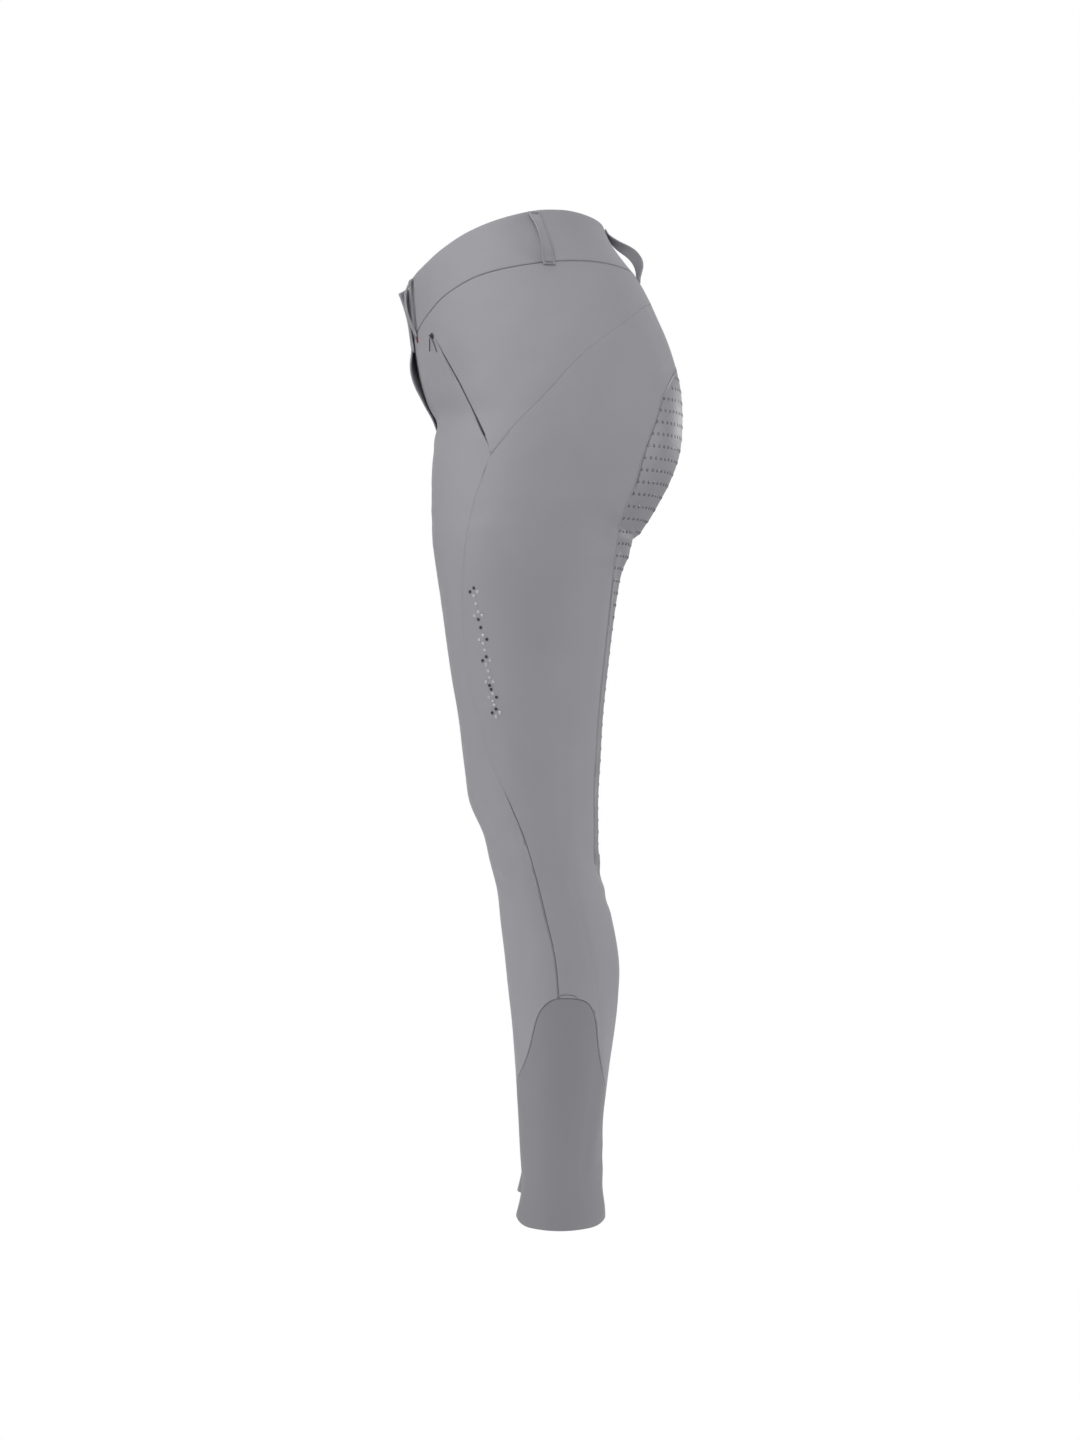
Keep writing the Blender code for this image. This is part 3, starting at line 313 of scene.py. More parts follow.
def creased(skin, side):
    """Lay the creases of one side into a skin."""
    bearing, reach = bearings(skin.points, side)
    sunk = np.zeros(len(skin.points))
    for crease in CREASES:
        if crease.side != side:
            continue
        t = np.linspace(0, 1, CREASE_STEPS)[:, None]
        turned = crease.bearing + t * (crease.to_bearing - crease.bearing)
        height = crease.height + t * (crease.to_height - crease.height)
        height = height - crease.bow * 4 * t * (1 - t)
        around = np.radians((bearing - turned + 180) % 360 - 180) * reach
        above = skin.points[:, 2] - height
        away = np.hypot(around, above)
        nearest = away.argmin(axis=0)
        everyone = np.arange(len(nearest))
        fade = np.sin(pi * np.clip(t[nearest, 0], 0.02, 0.98)) ** 0.8
        d = away[nearest, everyone] / crease.width
        trough = np.exp(-d * d) - SHOULDER * np.exp(-((d - 1.9) / 0.8) ** 2)
        sunk += crease.depth * fade * trough
    skin.points = skin.points - sunk[:, None] * skin.out()


def walled(skin, wall, edge):
    """Points and triangles of the whole wall: outer face, turned edges and inner face."""
    out = skin.out()
    count = len(skin.points)
    outer = skin.points.copy()
    inner = skin.points - wall * out
    extra = []
    faces = [skin.triangles, skin.triangles[:, ::-1] + count]
    made = 2 * count
    for loop in skin.loops():
        line = skin.points[loop]
        ahead = unit(np.roll(line, -1, axis=0) - np.roll(line, 1, axis=0))
        inward = np.cross(out[loop], ahead)
        rings = []
        for k, (inset, sink) in enumerate(edge):
            place = line + inset * inward - sink * out[loop]
            if k == 0:
                outer[loop] = place
                rings.append(loop)
            elif k == len(edge) - 1:
                inner[loop] = place
                rings.append(loop + count)
            else:
                extra.append(place)
                rings.append(made + np.arange(len(loop)))
                made += len(loop)
        for upper, lower in zip(rings, rings[1:]):
            a, b = upper, np.roll(upper, -1)
            c, d = lower, np.roll(lower, -1)
            faces += [np.stack([b, a, c], axis=1), np.stack([b, c, d], axis=1)]
    return np.concatenate([outer, inner] + extra), np.concatenate(faces)


def new_piece(name, points, faces, finish, slot, flat_faces=False):
    """A mesh piece of the garment, with the grain of the cloth on its corners."""
    mesh = bpy.data.meshes.new(name)
    mesh.from_pydata(np.asarray(points).tolist(), [], [list(face) for face in faces])
    if not flat_faces:
        mesh.shade_smooth()
    mesh.materials.append(finish)
    lay_grain(mesh, side_of(name) or 1)
    piece = bpy.data.objects.new(name, mesh)
    bpy.context.scene.collection.objects.link(piece)
    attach(piece, "root")
    return piece


def lay_grain(mesh, side):
    """Distances round the leg and up it, which the weave follows."""
    places = np.zeros(len(mesh.vertices) * 3)
    mesh.vertices.foreach_get("co", places)
    corner = np.zeros(len(mesh.loops), int)
    mesh.loops.foreach_get("vertex_index", corner)
    face_of = np.repeat(np.arange(len(mesh.polygons)), [len(p.vertices) for p in mesh.polygons])
    places = places.reshape(-1, 3)
    bearing, reach = bearings(places, side)
    turned = bearing[corner]
    first = turned[np.unique(face_of, return_index=True)[1]][face_of]
    turned = first + (turned - first + 180) % 360 - 180
    grain = np.stack([np.radians(turned) * reach[corner], places[corner, 2], np.zeros(len(corner))], axis=1)
    mesh.attributes.new("grain", "FLOAT_VECTOR", "CORNER").data.foreach_set("vector", grain.ravel())


class Wire:
    """A value or colour in a material, with arithmetic on it."""

    def __init__(self, finish, socket):
        self.finish = finish
        self.socket = socket

    def math(self, operation, *values):
        return self.finish.node("ShaderNodeMath", {"operation": operation}, dict(enumerate(values)))

    def __add__(self, other):
        return self.math("ADD", self, other)

    def __sub__(self, other):
        return self.math("SUBTRACT", self, other)

    def __rsub__(self, other):
        return self.math("SUBTRACT", other, self)

    def __mul__(self, other):
        return self.math("MULTIPLY", self, other)

    def __pow__(self, other):
        return self.math("POWER", self, other)

    __radd__ = __add__
    __rmul__ = __mul__


class Finish:
    """The nodes of one material."""

    def __init__(self, name):
        self.material = bpy.data.materials.new(name)
        self.material.use_nodes = True
        self.tree = self.material.node_tree
        self.tree.nodes.clear()

    def node(self, kind, settings=None, sockets=None, output=None):
        """Any node: its settings first, then the values or links of its sockets."""
        made = self.tree.nodes.new(kind)
        for setting, value in (settings or {}).items():
            setattr(made, setting, value)
        for name, value in (sockets or {}).items():
            socket = made.inputs[name] if isinstance(name, int) else next(
                s for s in made.inputs if s.enabled and s.name == name)
            if isinstance(value, Wire):
                self.tree.links.new(value.socket, socket)
            else:
                socket.default_value = value
        if not made.outputs:
            return made
        return Wire(self, made.outputs[output] if output else next(s for s in made.outputs if s.enabled))

    def wave(self, position, period):
        """A sine of a position, from -1 to 1."""
        return position.math("SINE", position * (2 * pi / period))

    def noise(self, position, scale, detail=2.0):
        return self.node("ShaderNodeTexNoise", {}, {"Vector": position, "Scale": scale, "Detail": detail})

    def blend(self, low, high, share):
        """A colour between two, by a share."""
        return self.node("ShaderNodeMix", {"data_type": "RGBA"}, {"Factor": share, "A": low, "B": high})

    def done(self, **sockets):
        """The surface itself. Names are the shader's, with _ for a space."""
        shader = self.node("ShaderNodeBsdfPrincipled", {},
                           {name.replace("_", " "): value for name, value in sockets.items()})
        self.node("ShaderNodeOutputMaterial", {}, {"Surface": shader})
        return self.material


def grey(level, warm=0.015, cool=0.08):
    """A colour near grey, its red and blue a little over its green."""
    return (level * (1 + warm), level, level * (1 + cool), 1.0)


def cloth_finish(name, level, period, depth, sheen):
    """Smooth stretch cloth: fine knitted ribs along the grain, and a soft uneven sheen."""
    finish = Finish(name)
    grain = finish.node("ShaderNodeAttribute", {"attribute_name": "grain"}, output="Vector")
    parts = finish.node("ShaderNodeSeparateXYZ", {}, {"Vector": grain})
    around = parts
    up = Wire(finish, parts.socket.node.outputs["Y"])
    ribs = around + 0.22 * period * finish.wave(up, period * 0.8)
    weave = finish.wave(ribs, period) * 0.5 + finish.wave(up, period * 0.8) * 0.25
    place = finish.node("ShaderNodeTexCoord", output="Object")
    cloudy = finish.noise(place, 14.0, 3.0)
    flecks = finish.noise(grain, 1600.0, 1.0)
    share = cloudy * 0.5 + flecks * 0.35 + weave * 0.12
    colour = finish.blend(grey(level * 0.86), grey(level * 1.12), share)
    bump = finish.node("ShaderNodeBump", {}, {"Strength": 0.5, "Distance": depth, "Height": weave})
    return finish.done(Base_Color=colour, Roughness=cloudy * 0.10 + 0.60, Normal=bump,
                       Sheen_Weight=sheen, Sheen_Roughness=0.45, Sheen_Tint=grey(0.85))


stretch_cloth = cloth_finish("stretch_cloth", 0.30, 0.0007, 0.00005, 0.18)

skins = {}
panels = {}
for side, mark in ((1, "L"), (-1, "R")):
    node = "front_panel_" + mark
    skins[node] = Skin(node, PANEL_WALL, PANEL_LEVELS)
    creased(skins[node], side)
    panel = new_piece("front_" + mark, *walled(skins[node], PANEL_WALL, SEWN_EDGE),
                      stretch_cloth, "stretch_cloth")
    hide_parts(node)
    panels[node] = panel

# ---------------------------------------------------------------------------------------------
# Back panels. Each is one piece of the same cloth, the seat and the back of the leg, from the
# front leg seam round to the inseam.

for side, mark in ((1, "L"), (-1, "R")):
    node = "back_panel_" + mark
    skins[node] = Skin(node, PANEL_WALL, PANEL_LEVELS)
    creased(skins[node], side)
    panel = new_piece("back_" + mark, *walled(skins[node], PANEL_WALL, SEWN_EDGE),
                      stretch_cloth, "stretch_cloth")
    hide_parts(node)
    panels[node] = panel

# ---------------------------------------------------------------------------------------------
# Cuffs. A tube of thinner, finer knitted cloth round each ankle, with a raw lower edge.

CUFF_WALL = 0.0012
KNIT_EDGE = ((0.0009, 0.0), (0.0004, 0.0001), (0.0, 0.0005), (0.0001, 0.0010), (0.0005, 0.0012))
cuff_knit = cloth_finish("cuff_knit", 0.235, 0.0006, 0.00006, 0.12)
for side, mark in ((1, "L"), (-1, "R")):
    node = "cuff_" + mark
    skins[node] = Skin(node, CUFF_WALL, PANEL_LEVELS)
    creased(skins[node], side)
    cuff = new_piece("knit_cuff_" + mark, *walled(skins[node], CUFF_WALL, KNIT_EDGE),
                     cuff_knit, "cuff_knit")
    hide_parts(node)

# ---------------------------------------------------------------------------------------------
# Waistband. A doubled, shaped band of the same cloth. Its upper edge is a fold, and its right end
# laps over the left one.

BAND_WALL = 0.0024
FOLDED_EDGE = ((0.0014, 0.0), (0.0006, 0.00018), (0.00015, 0.0006), (0.0, 0.0012),
               (0.00015, 0.0018), (0.0006, 0.00222), (0.0014, 0.0024))
band = Skin("waistband", BAND_WALL, 2)
waistband = new_piece("waistband_folded", *walled(band, BAND_WALL, FOLDED_EDGE),
                      stretch_cloth, "stretch_cloth")
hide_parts("waistband")

# ---------------------------------------------------------------------------------------------
# Seams. The edges of two panels are turned in and sewn together. Between them shows the fold
# underneath, nearly level with the cloth above the knee and deeper below it. Along the deeper
# groove runs a dark strand: painted shade, standing in for the shadow in the groove.

SEAM_ROLL = 0.00045
SEAM_DEEP = 0.00055
SEAM_LEVEL = 0.00010
LEVEL_WIDER = 0.25
LEVEL_FLATTER = 0.05
HALF_GAP = 0.00015
LEVEL_ABOVE = -0.50
DEEP_BELOW = -0.55
SHADE_STRAND = 0.00036
SHADE_STRAND_FROM = 0.1
SHADE_STRAND_SWELL = 1.6
WAIST_FRONT = (0.0, -0.0895, -0.0762)
FLY_FOOT = (0.0, -0.068, -0.156)
CROTCH = (0.0, 0.0275, -0.2551)
INSEAM_FOOT = (0.0394, 0.0503, -0.838)
ARCH_TOP = (0.130, 0.048, -0.7002)
JUNCTION = (0.1684, -0.015, -0.1935)
POCKET_FOOT = (0.1655, -0.0219, -0.1750)
YOKE_BACK = (0.0, 0.1362, -0.034)
WAIST_BACK = (0.0, 0.1246, -0.0121)
# A seam and how deep it lies, from 0 to 1, on the upper and on the lower leg
Seam = namedtuple("Seam", "name panel start end sunk_high sunk_low")
SEAMS = (Seam("leg", "back_panel_", JUNCTION, ARCH_TOP, 0.0, 1.0),
         Seam("yoke", "back_panel_", JUNCTION, YOKE_BACK, 0.0, 0.0),
         Seam("inner", "back_panel_", CROTCH, INSEAM_FOOT, 1.0, 1.0),
         Seam("seat", "back_panel_", YOKE_BACK, CROTCH, 1.0, 1.0),
         Seam("hip", "front_panel_", WAIST_BACK, YOKE_BACK, 1.0, 1.0),
         Seam("rise", "front_panel_", FLY_FOOT, CROTCH, 1.0, 1.0),
         Seam("pocket", "front_panel_", POCKET_FOOT, JUNCTION, 0.0, 0.0),
         Seam("waist", "front_panel_", WAIST_FRONT, WAIST_BACK, 0.35, 0.35))
MIDDLE_SEAMS = ("seat", "hip", "rise")


def circle(radius, sides, flat=1.0):
    """A round section, or a flattened one, as rows of (across, up)."""
    return [(radius * cos(2 * pi * k / sides), radius * flat * sin(2 * pi * k / sides))
            for k in range(sides)]


def swept(path, out, section, scale=None, closed=False):
    """A section of (across, up) rows, carried along a path and scaled at each of its points."""
    rows, ring = len(path), len(section)
    if closed:
        ahead = unit(np.roll(path, -1, axis=0) - np.roll(path, 1, axis=0))
    else:
        ahead = unit(np.gradient(path, axis=0))
    across = unit(np.cross(ahead, out))
    up = np.cross(across, ahead)
    section = np.array(section, float)
    size = np.ones(rows) if scale is None else np.array(scale, float)
    size = size.reshape(rows, 1, -1)
    points = (path[:, None] + size[..., :1] * section[None, :, :1] * across[:, None]
              + size[..., -1:] * section[None, :, 1:] * up[:, None]).reshape(-1, 3)
    faces = []
    for i in range(rows if closed else rows - 1):
        j = (i + 1) % rows
        for k in range(ring):
            m = (k + 1) % ring
            faces.append((i * ring + k, j * ring + k, j * ring + m, i * ring + m))
    if not closed:
        faces.append(tuple(range(ring)))
        faces.append(tuple((rows - 1) * ring + k for k in reversed(range(ring))))
    return points, faces


def joined(parts):
    """Several meshes as one."""
    points, faces, made = [], [], 0
    for some_points, some_faces in parts:
        points.append(some_points)
        faces += [tuple(int(v) + made for v in face) for face in some_faces]
        made += len(some_points)
    return np.concatenate(points), faces


def mirrored(place, side):
    return np.array(place) * (side, 1, 1)


def inward(path, out, middle):
    """The direction within the cloth, square to an edge, that leads towards a place."""
    away = unit(np.cross(unit(np.gradient(path, axis=0)), out))
    return away * np.sign((away * (middle - path)).sum(axis=1).mean())


def thread_finish(name, level):
    """Spun polyester thread with a slight twist and sheen."""
    finish = Finish(name)
    place = finish.node("ShaderNodeTexCoord", output="Object")
    twist = finish.noise(place, 2600.0, 1.0)
    colour = finish.blend(grey(level * 0.8), grey(level * 1.15), twist)
    bump = finish.node("ShaderNodeBump", {}, {"Strength": 0.4, "Distance": 0.00004, "Height": twist})
    return finish.done(Base_Color=colour, Roughness=twist * 0.1 + 0.45, Normal=bump)


# Painted shade: a dark strand laid in the seam grooves stands in for their shadow, and is no real thread.
painted_seam_shade = thread_finish("painted_seam_shade", 0.085)
for side, mark in ((1, "L"), (-1, "R")):
    rolls, shade_strands = [], []
    for seam in SEAMS:
        if side < 0 and seam.name in MIDDLE_SEAMS:
            continue
        skin = skins[seam.panel + mark]
        edge = skin.edge_between(mirrored(seam.start, side), mirrored(seam.end, side))
        path, out = skin.points[edge], skin.out()[edge]
        down = np.clip((LEVEL_ABOVE - path[:, 2]) / (LEVEL_ABOVE - DEEP_BELOW), 0, 1)
        sunk = seam.sunk_high + (seam.sunk_low - seam.sunk_high) * down
        deep = SEAM_LEVEL + (SEAM_DEEP - SEAM_LEVEL) * sunk[:, None]
        top = path - HALF_GAP * inward(path, out, skin.points.mean(axis=0)) - deep * out
        size = np.stack([1 + LEVEL_WIDER * (1 - sunk), 1 - LEVEL_FLATTER * (1 - sunk)], axis=1)
        rolls.append(swept(top - SEAM_ROLL * size[:, 1:] * out, out, circle(SEAM_ROLL, 10), size))
        # The dark strand along the deeper part of a seam is painted shade.
        dark = sunk > SHADE_STRAND_FROM
        if dark.any():
            shade_strands.append(swept(top[dark], out[dark], circle(SHADE_STRAND, 8),
                                 np.minimum(SHADE_STRAND_SWELL * sunk[dark], 1.0)))
    new_piece("seam_folds_" + mark, *joined(rolls), stretch_cloth, "stretch_cloth")
    new_piece("seam_strands_" + mark, *joined(shade_strands), painted_seam_shade, "stretch_cloth")

# ---------------------------------------------------------------------------------------------
# Arch seams. The leg's lower edge is folded over the knitted cuff and sewn, which leaves a fine
# groove. At the top of the arch, where the leg seam ends, its turnings stand up as a short welt.
# A dark strand along the groove and a short one under the welt are painted shade.

ARCH_ROLL = 0.00042
ARCH_SUNK = 0.00110
WELT_MIDDLE = (0.130, 0.0555, -0.7000)
WELT_REACH = 0.0105
WELT_RISE = 0.0038
WELT_ABOVE = 0.0008
WELT_THICK = 0.00065
WELT_SHADE = 0.00026
for side, mark in ((1, "L"), (-1, "R")):
    skin = skins["cuff_" + mark]
    rim = max(skin.loops(), key=lambda loop: skin.points[loop, 2].mean())
    away = skin.points[rim] - mirrored(WELT_MIDDLE, side)
    rim = np.roll(rim, -np.sqrt((away ** 2).sum(axis=1)).argmax())
    path, out = skin.points[rim], skin.out()[rim]
    line = path + (0, 0, HALF_GAP)
    roll = swept(line - ARCH_SUNK * out, out, circle(ARCH_ROLL, 8), closed=True)
    reach = np.sqrt(((path - mirrored(WELT_MIDDLE, side)) ** 2).sum(axis=1)) / WELT_REACH
    # Painted shade: a dark strand in the arch groove, thinner near the welt.
    shade_strand = swept(line - SEAM_DEEP * out, out, circle(SHADE_STRAND, 8), np.clip(0.6 * reach, 0.4, 1.0), closed=True)
    near = reach < 1
    up = -inward(path[near], out[near], skin.points.mean(axis=0))
    swell = np.sqrt(1 - reach[near] ** 2)
    over = path[near] + WELT_RISE * swell[:, None] * up
    welt = swept(over + WELT_ABOVE * up - 0.4 * WELT_THICK * out[near], out[near],
                 circle(WELT_THICK, 10), np.maximum(swell, 0.15))
    # Painted shade: a short dark strand under the welt, for the shadow below it.
    shade = swept(over, out[near], circle(WELT_SHADE, 6), np.maximum(swell, 0.15))
    new_piece("arch_folds_" + mark, *joined([roll, welt]), stretch_cloth, "stretch_cloth")
    new_piece("arch_strand_" + mark, *joined([shade_strand, shade]), painted_seam_shade, "stretch_cloth")

# ---------------------------------------------------------------------------------------------
# Seat grips. Clear grey silicone printed on the seat, the back of the thigh and the inner knee: a
# thin skin with rows of raised round dots.

GRIP_WALL = 0.0008
GRIP_EDGE = ((0.0024, 0.0), (0.0010, 0.00008), (0.0003, 0.0002), (0.0, 0.0004), (0.0, 0.0008))
GRIP_SUNK = 0.00065
DOT_ROWS = 0.01130
DOT_FIRST = -0.0827
DOT_COLUMNS = 0.0072
DOT_RADIUS = 0.0017
DOT_HEIGHT = 0.00040
DOT_MARGIN = 0.0036
THIGH_MARGIN = 0.024
MARGIN_HEIGHTS = (-0.36, -0.30)
DOT_SIDES = 8
DOT_RINGS = ((1.0, -0.1), (0.88, 0.50), (0.48, 0.92))


def silicone_finish(name, level, roughness):
    """Printed silicone: smooth and semi-gloss, with a faint skin of its own."""
    finish = Finish(name)
    place = finish.node("ShaderNodeTexCoord", output="Object")
    cloudy = finish.noise(place, 40.0, 2.0)
    skin = finish.noise(place, 900.0, 2.0)
    colour = finish.blend(grey(level * 0.93), grey(level * 1.07, 0.0, 0.09), cloudy)
    bump = finish.node("ShaderNodeBump", {}, {"Strength": 0.25, "Distance": 0.00006, "Height": skin})
    return finish.done(Base_Color=colour, Roughness=cloudy * 0.12 + roughness, Normal=bump, IOR=1.41)


def dome(place, facing, radius, height, sides, rings):
    """A low round dot on a surface."""
    aside = unit(np.cross(facing, (0.31, 0.52, 0.79)))
    other = np.cross(facing, aside)
    points = [place + radius * size * (cos(2 * pi * k / sides) * aside + sin(2 * pi * k / sides) * other)
              + height * up * facing for size, up in rings for k in range(sides)]
    points.append(place + height * facing)
    faces = []
    for r in range(len(rings) - 1):
        for k in range(sides):
            m = (k + 1) % sides
            faces.append((r * sides + k, r * sides + m, (r + 1) * sides + m, (r + 1) * sides + k))
    last = (len(rings) - 1) * sides
    faces += [(last + k, last + (k + 1) % sides, len(points) - 1) for k in range(sides)]
    faces.append(tuple(reversed(range(sides))))
    return np.array(points), faces


def round_leg(tree, side, height, bearing):
    """The surface at a bearing round the leg, as a place and the direction out, or None."""
    heights = [p.height for p in LEG_AXIS]
    x = side * float(np.interp(height, heights, [p.out for p in LEG_AXIS]))
    y = float(np.interp(height, heights, [p.back for p in LEG_AXIS]))
    turn = radians(bearing)
    place, facing, _, _ = tree.ray_cast(Vector((x, y, height)), Vector((side * sin(turn), -cos(turn), 0.0)))
    if place is None:
        return None
    return np.array(place), np.array(facing)


grip_silicone = silicone_finish("grip_silicone", 0.270, 0.42)
dot_silicone = silicone_finish("grip_dots", 0.135, 0.06)
for side, mark in ((1, "L"), (-1, "R")):
    node = "seat_grip_" + mark
    skin = Skin(node, GRIP_WALL, PANEL_LEVELS)
    creased(skin, side)
    skin.points = skin.points - GRIP_SUNK * skin.out()
    grip = new_piece("grip_skin_" + mark, *walled(skin, GRIP_WALL, GRIP_EDGE), grip_silicone, "grip_silicone")
    tree = skin.tree()
    dots = []
    for height in np.arange(DOT_FIRST, skin.points[:, 2].min(), -DOT_ROWS):
        last = None
        for bearing in np.arange(95.0, 320.0, 0.25):
            hit = round_leg(tree, side, height, bearing)
            if hit is None:
                continue
            place, facing = hit
            if last is None:
                last = place
                wait = np.interp(height, MARGIN_HEIGHTS, (THIGH_MARGIN, DOT_MARGIN))
            if np.sqrt(((place - last) ** 2).sum()) < wait:
                continue
            reach = degrees(DOT_MARGIN / max(np.hypot(*(place - (side * 0.085, 0.035, 0))[:2]), 0.03))
            beside = round_leg(tree, side, height, bearing + reach)
            around = [round_leg(tree, side, height + step, bearing) for step in (-DOT_MARGIN, DOT_MARGIN)]
            last, wait = place, DOT_COLUMNS
            if beside is not None and None not in around:
                dots.append(dome(place, facing, DOT_RADIUS, DOT_HEIGHT, DOT_SIDES, DOT_RINGS))
    printed = new_piece("grip_dots_" + mark, *joined(dots), dot_silicone, "grip_silicone")
    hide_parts(node)

# ---------------------------------------------------------------------------------------------
# Belt loops. Straps of the same cloth, folded in three and stitched along both edges, sewn down
# with bar tacks above and below the band, and standing off it between.

LOOP_WALL = 0.0016
STRAP_EDGE = ((0.0009, 0.0), (0.0004, 0.00012), (0.0001, 0.0004), (0.0, 0.0008),
              (0.0001, 0.0012), (0.0004, 0.00148), (0.0009, 0.0016))
EDGE_STITCH_IN = 0.0018
STRAP_PITCH = 0.0026
STRAP_STITCH = 0.0020
THREAD = 0.00014
TACK_FROM = 0.0014
TACK_PITCH = 0.0005
TACK_ROWS = 5
# How much further each strap is turned about its length, in radians
LOOP_TURNS = {"belt_loop_front_L": 0.0, "belt_loop_front_R": 0.0, "belt_loop_side_L": -0.30,
              "belt_loop_side_R": 0.30, "belt_loop_back": -0.42}


def along(path, values, distances):
    """Values at distances along a path."""
    run = lengths(path)
    return np.stack([np.interp(distances, run, column) for column in np.asarray(values).T], axis=1)


def stitches(path, out, pitch, long, thick):
    """A row of thread stitches that rise out of the cloth and go back in."""
    total = lengths(path)[-1]
    rings = ((-0.5, 0.5, -0.6), (-0.36, 1.0, 0.1), (0.0, 1.1, 0.35), (0.36, 1.0, 0.1), (0.5, 0.5, -0.6))
    parts = []
    for middle in np.arange(pitch / 2, total - long / 2, pitch):
        at = [middle + long * share for share, _, _ in rings]
        facing = unit(along(path, out, at))
        lift = thick * np.array([up for _, _, up in rings])[:, None]
        parts.append(swept(along(path, path, at) + lift * facing, facing, circle(thick, 5),
                           [size for _, size, _ in rings]))
    return joined(parts)


def middle_line(skin, count):
    """The line down the middle of a strip, and the direction out of it."""
    lines = []
    for edge in skin.long_edges():
        path = skin.points[edge]
        lines.append(along(path, path, np.linspace(0, lengths(path)[-1], count)))
    tree = skin.tree()
    found = [tree.find_nearest(place)[:2] for place in (lines[0] + lines[1]) / 2]
    return np.array([place for place, _ in found]), np.array([out for _, out in found])


def turned_strap(skin, turn):
    """Turn a strap about its middle line, most half way along it."""
    line, _ = middle_line(skin, 40)
    run = lengths(line) / lengths(line)[-1]
    ahead = unit(np.gradient(line, axis=0))
    nearest = ((skin.points[:, None] - line[None]) ** 2).sum(axis=2).argmin(axis=1)
    angle = (turn * np.sin(pi * run[nearest]))[:, None]
    arm = skin.points - line[nearest]
    aside = np.cross(ahead[nearest], arm)
    skin.points = line[nearest] + arm * np.cos(angle) + aside * np.sin(angle)


grey_thread = thread_finish("grey_thread", 0.27)
for node, turn in LOOP_TURNS.items():
    skin = Skin(node, LOOP_WALL, 2)
    turned_strap(skin, turn)
    strap = new_piece(node.replace("belt_loop", "strap"), *walled(skin, LOOP_WALL, STRAP_EDGE),
                      stretch_cloth, "stretch_cloth")
    middle, out = skin.points.mean(axis=0), skin.out()
    edges = skin.long_edges()
    sewn = []
    for edge in edges:
        path = skin.points[edge]
        line = path + EDGE_STITCH_IN * inward(path, out[edge], middle)
        sewn.append(stitches(line, out[edge], STRAP_PITCH, STRAP_STITCH, THREAD))
    tree = skin.tree()
    for end in (0, -1):
        first, last = (skin.points[edge] for edge in edges)
        for row in range(TACK_ROWS):
            run = TACK_FROM + TACK_PITCH * row
            ends = [along(line, line, [run if end == 0 else lengths(line)[-1] - run])[0]
                    for line in (first, last)]
            row_line = np.linspace(ends[0], ends[1], 7)[1:-1]
            found = [tree.find_nearest(place)[:2] for place in row_line]
            facing = np.array([out for _, out in found])
            row_line = np.array([place for place, _ in found]) + 0.6 * THREAD * facing
            sewn.append(swept(row_line, facing, circle(THREAD * 1.2, 5)))
    thread = new_piece(node.replace("belt_loop", "strap_thread"), *joined(sewn), grey_thread,
                       "stretch_cloth")
    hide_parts(node)

# ---------------------------------------------------------------------------------------------
# Fly. A doubled flap of the same cloth, sewn to the right front, covers a closed zip on dark tape.

FLAP_WALL = 0.0018
FLAP_EDGE = ((0.0011, 0.0), (0.0004, 0.00015), (0.0001, 0.0005), (0.0, 0.0009),
             (0.0001, 0.0013), (0.0004, 0.00165), (0.0011, 0.0018))
FLAP_SEAM_X = -0.006
FLAP_BLEND = 0.008
FLAP_SETTLES = 0.0028
FLY_STITCH = ((-0.0035, -0.082), (-0.0035, -0.100), (-0.0035, -0.120), (-0.0035, -0.140), (-0.0030, -0.152))
flap_skin = Skin("fly_flap", FLAP_WALL, 2)
share = np.clip((FLAP_SEAM_X + FLAP_BLEND - flap_skin.points[:, 0]) / FLAP_BLEND, 0, 1)
flap_skin.points[:, 1] += FLAP_SETTLES * share ** 2 * (3 - 2 * share)
flap = new_piece("fly_cover", *walled(flap_skin, FLAP_WALL, FLAP_EDGE), stretch_cloth, "stretch_cloth")
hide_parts("fly_flap")

TAPE_WALL = 0.0010
TOOTH_PITCH = 0.0013
TOOTH_REACH = 0.0016
TOOTH_THICK = 0.00042
WOVEN_EDGE = ((0.0003, 0.0), (0.0, 0.0003), (0.0, 0.0007), (0.0003, 0.0010))


def tape_finish(name, level):
    """Woven zip tape: a fine herringbone of dark polyester."""
    finish = Finish(name)
    place = finish.node("ShaderNodeTexCoord", output="Object")
    parts = finish.node("ShaderNodeSeparateXYZ", {}, {"Vector": place})
    up = Wire(finish, parts.socket.node.outputs["Z"])
    across = Wire(finish, parts.socket.node.outputs["Y"])
    bars = finish.wave(across.math("ABSOLUTE", across) + up, 0.0009)
    colour = finish.blend(grey(level * 0.75), grey(level * 1.2), bars * 0.5 + 0.5)
    bump = finish.node("ShaderNodeBump", {}, {"Strength": 0.5, "Distance": 0.00008, "Height": bars})
    return finish.done(Base_Color=colour, Roughness=bars * 0.05 + 0.6, Normal=bump)


def coil(path, out, reach, pitch, thick):
    """The closed teeth of a coil zip: loops of nylon from both sides that lock in the middle."""
    teeth = []
    across = unit(np.cross(unit(np.gradient(path, axis=0)), out))
    runs = np.arange(pitch / 2, lengths(path)[-1] - pitch / 2, pitch / 2)
    places, facings, asides = (along(path, values, runs) for values in (path, out, across))
    for i, (place, facing, aside) in enumerate(zip(places, unit(facings), unit(asides))):
        aside = aside * (1 if i % 2 else -1) * reach
        rise = 0.4 * thick * facing
        line = np.array([place - 0.35 * aside, place + 0.1 * aside + rise, place + 0.6 * aside + rise,
                         place + aside])
        teeth.append(swept(line, np.array([facing] * 4), circle(thick, 6), (0.7, 1.0, 1.0, 0.8)))
    return joined(teeth)


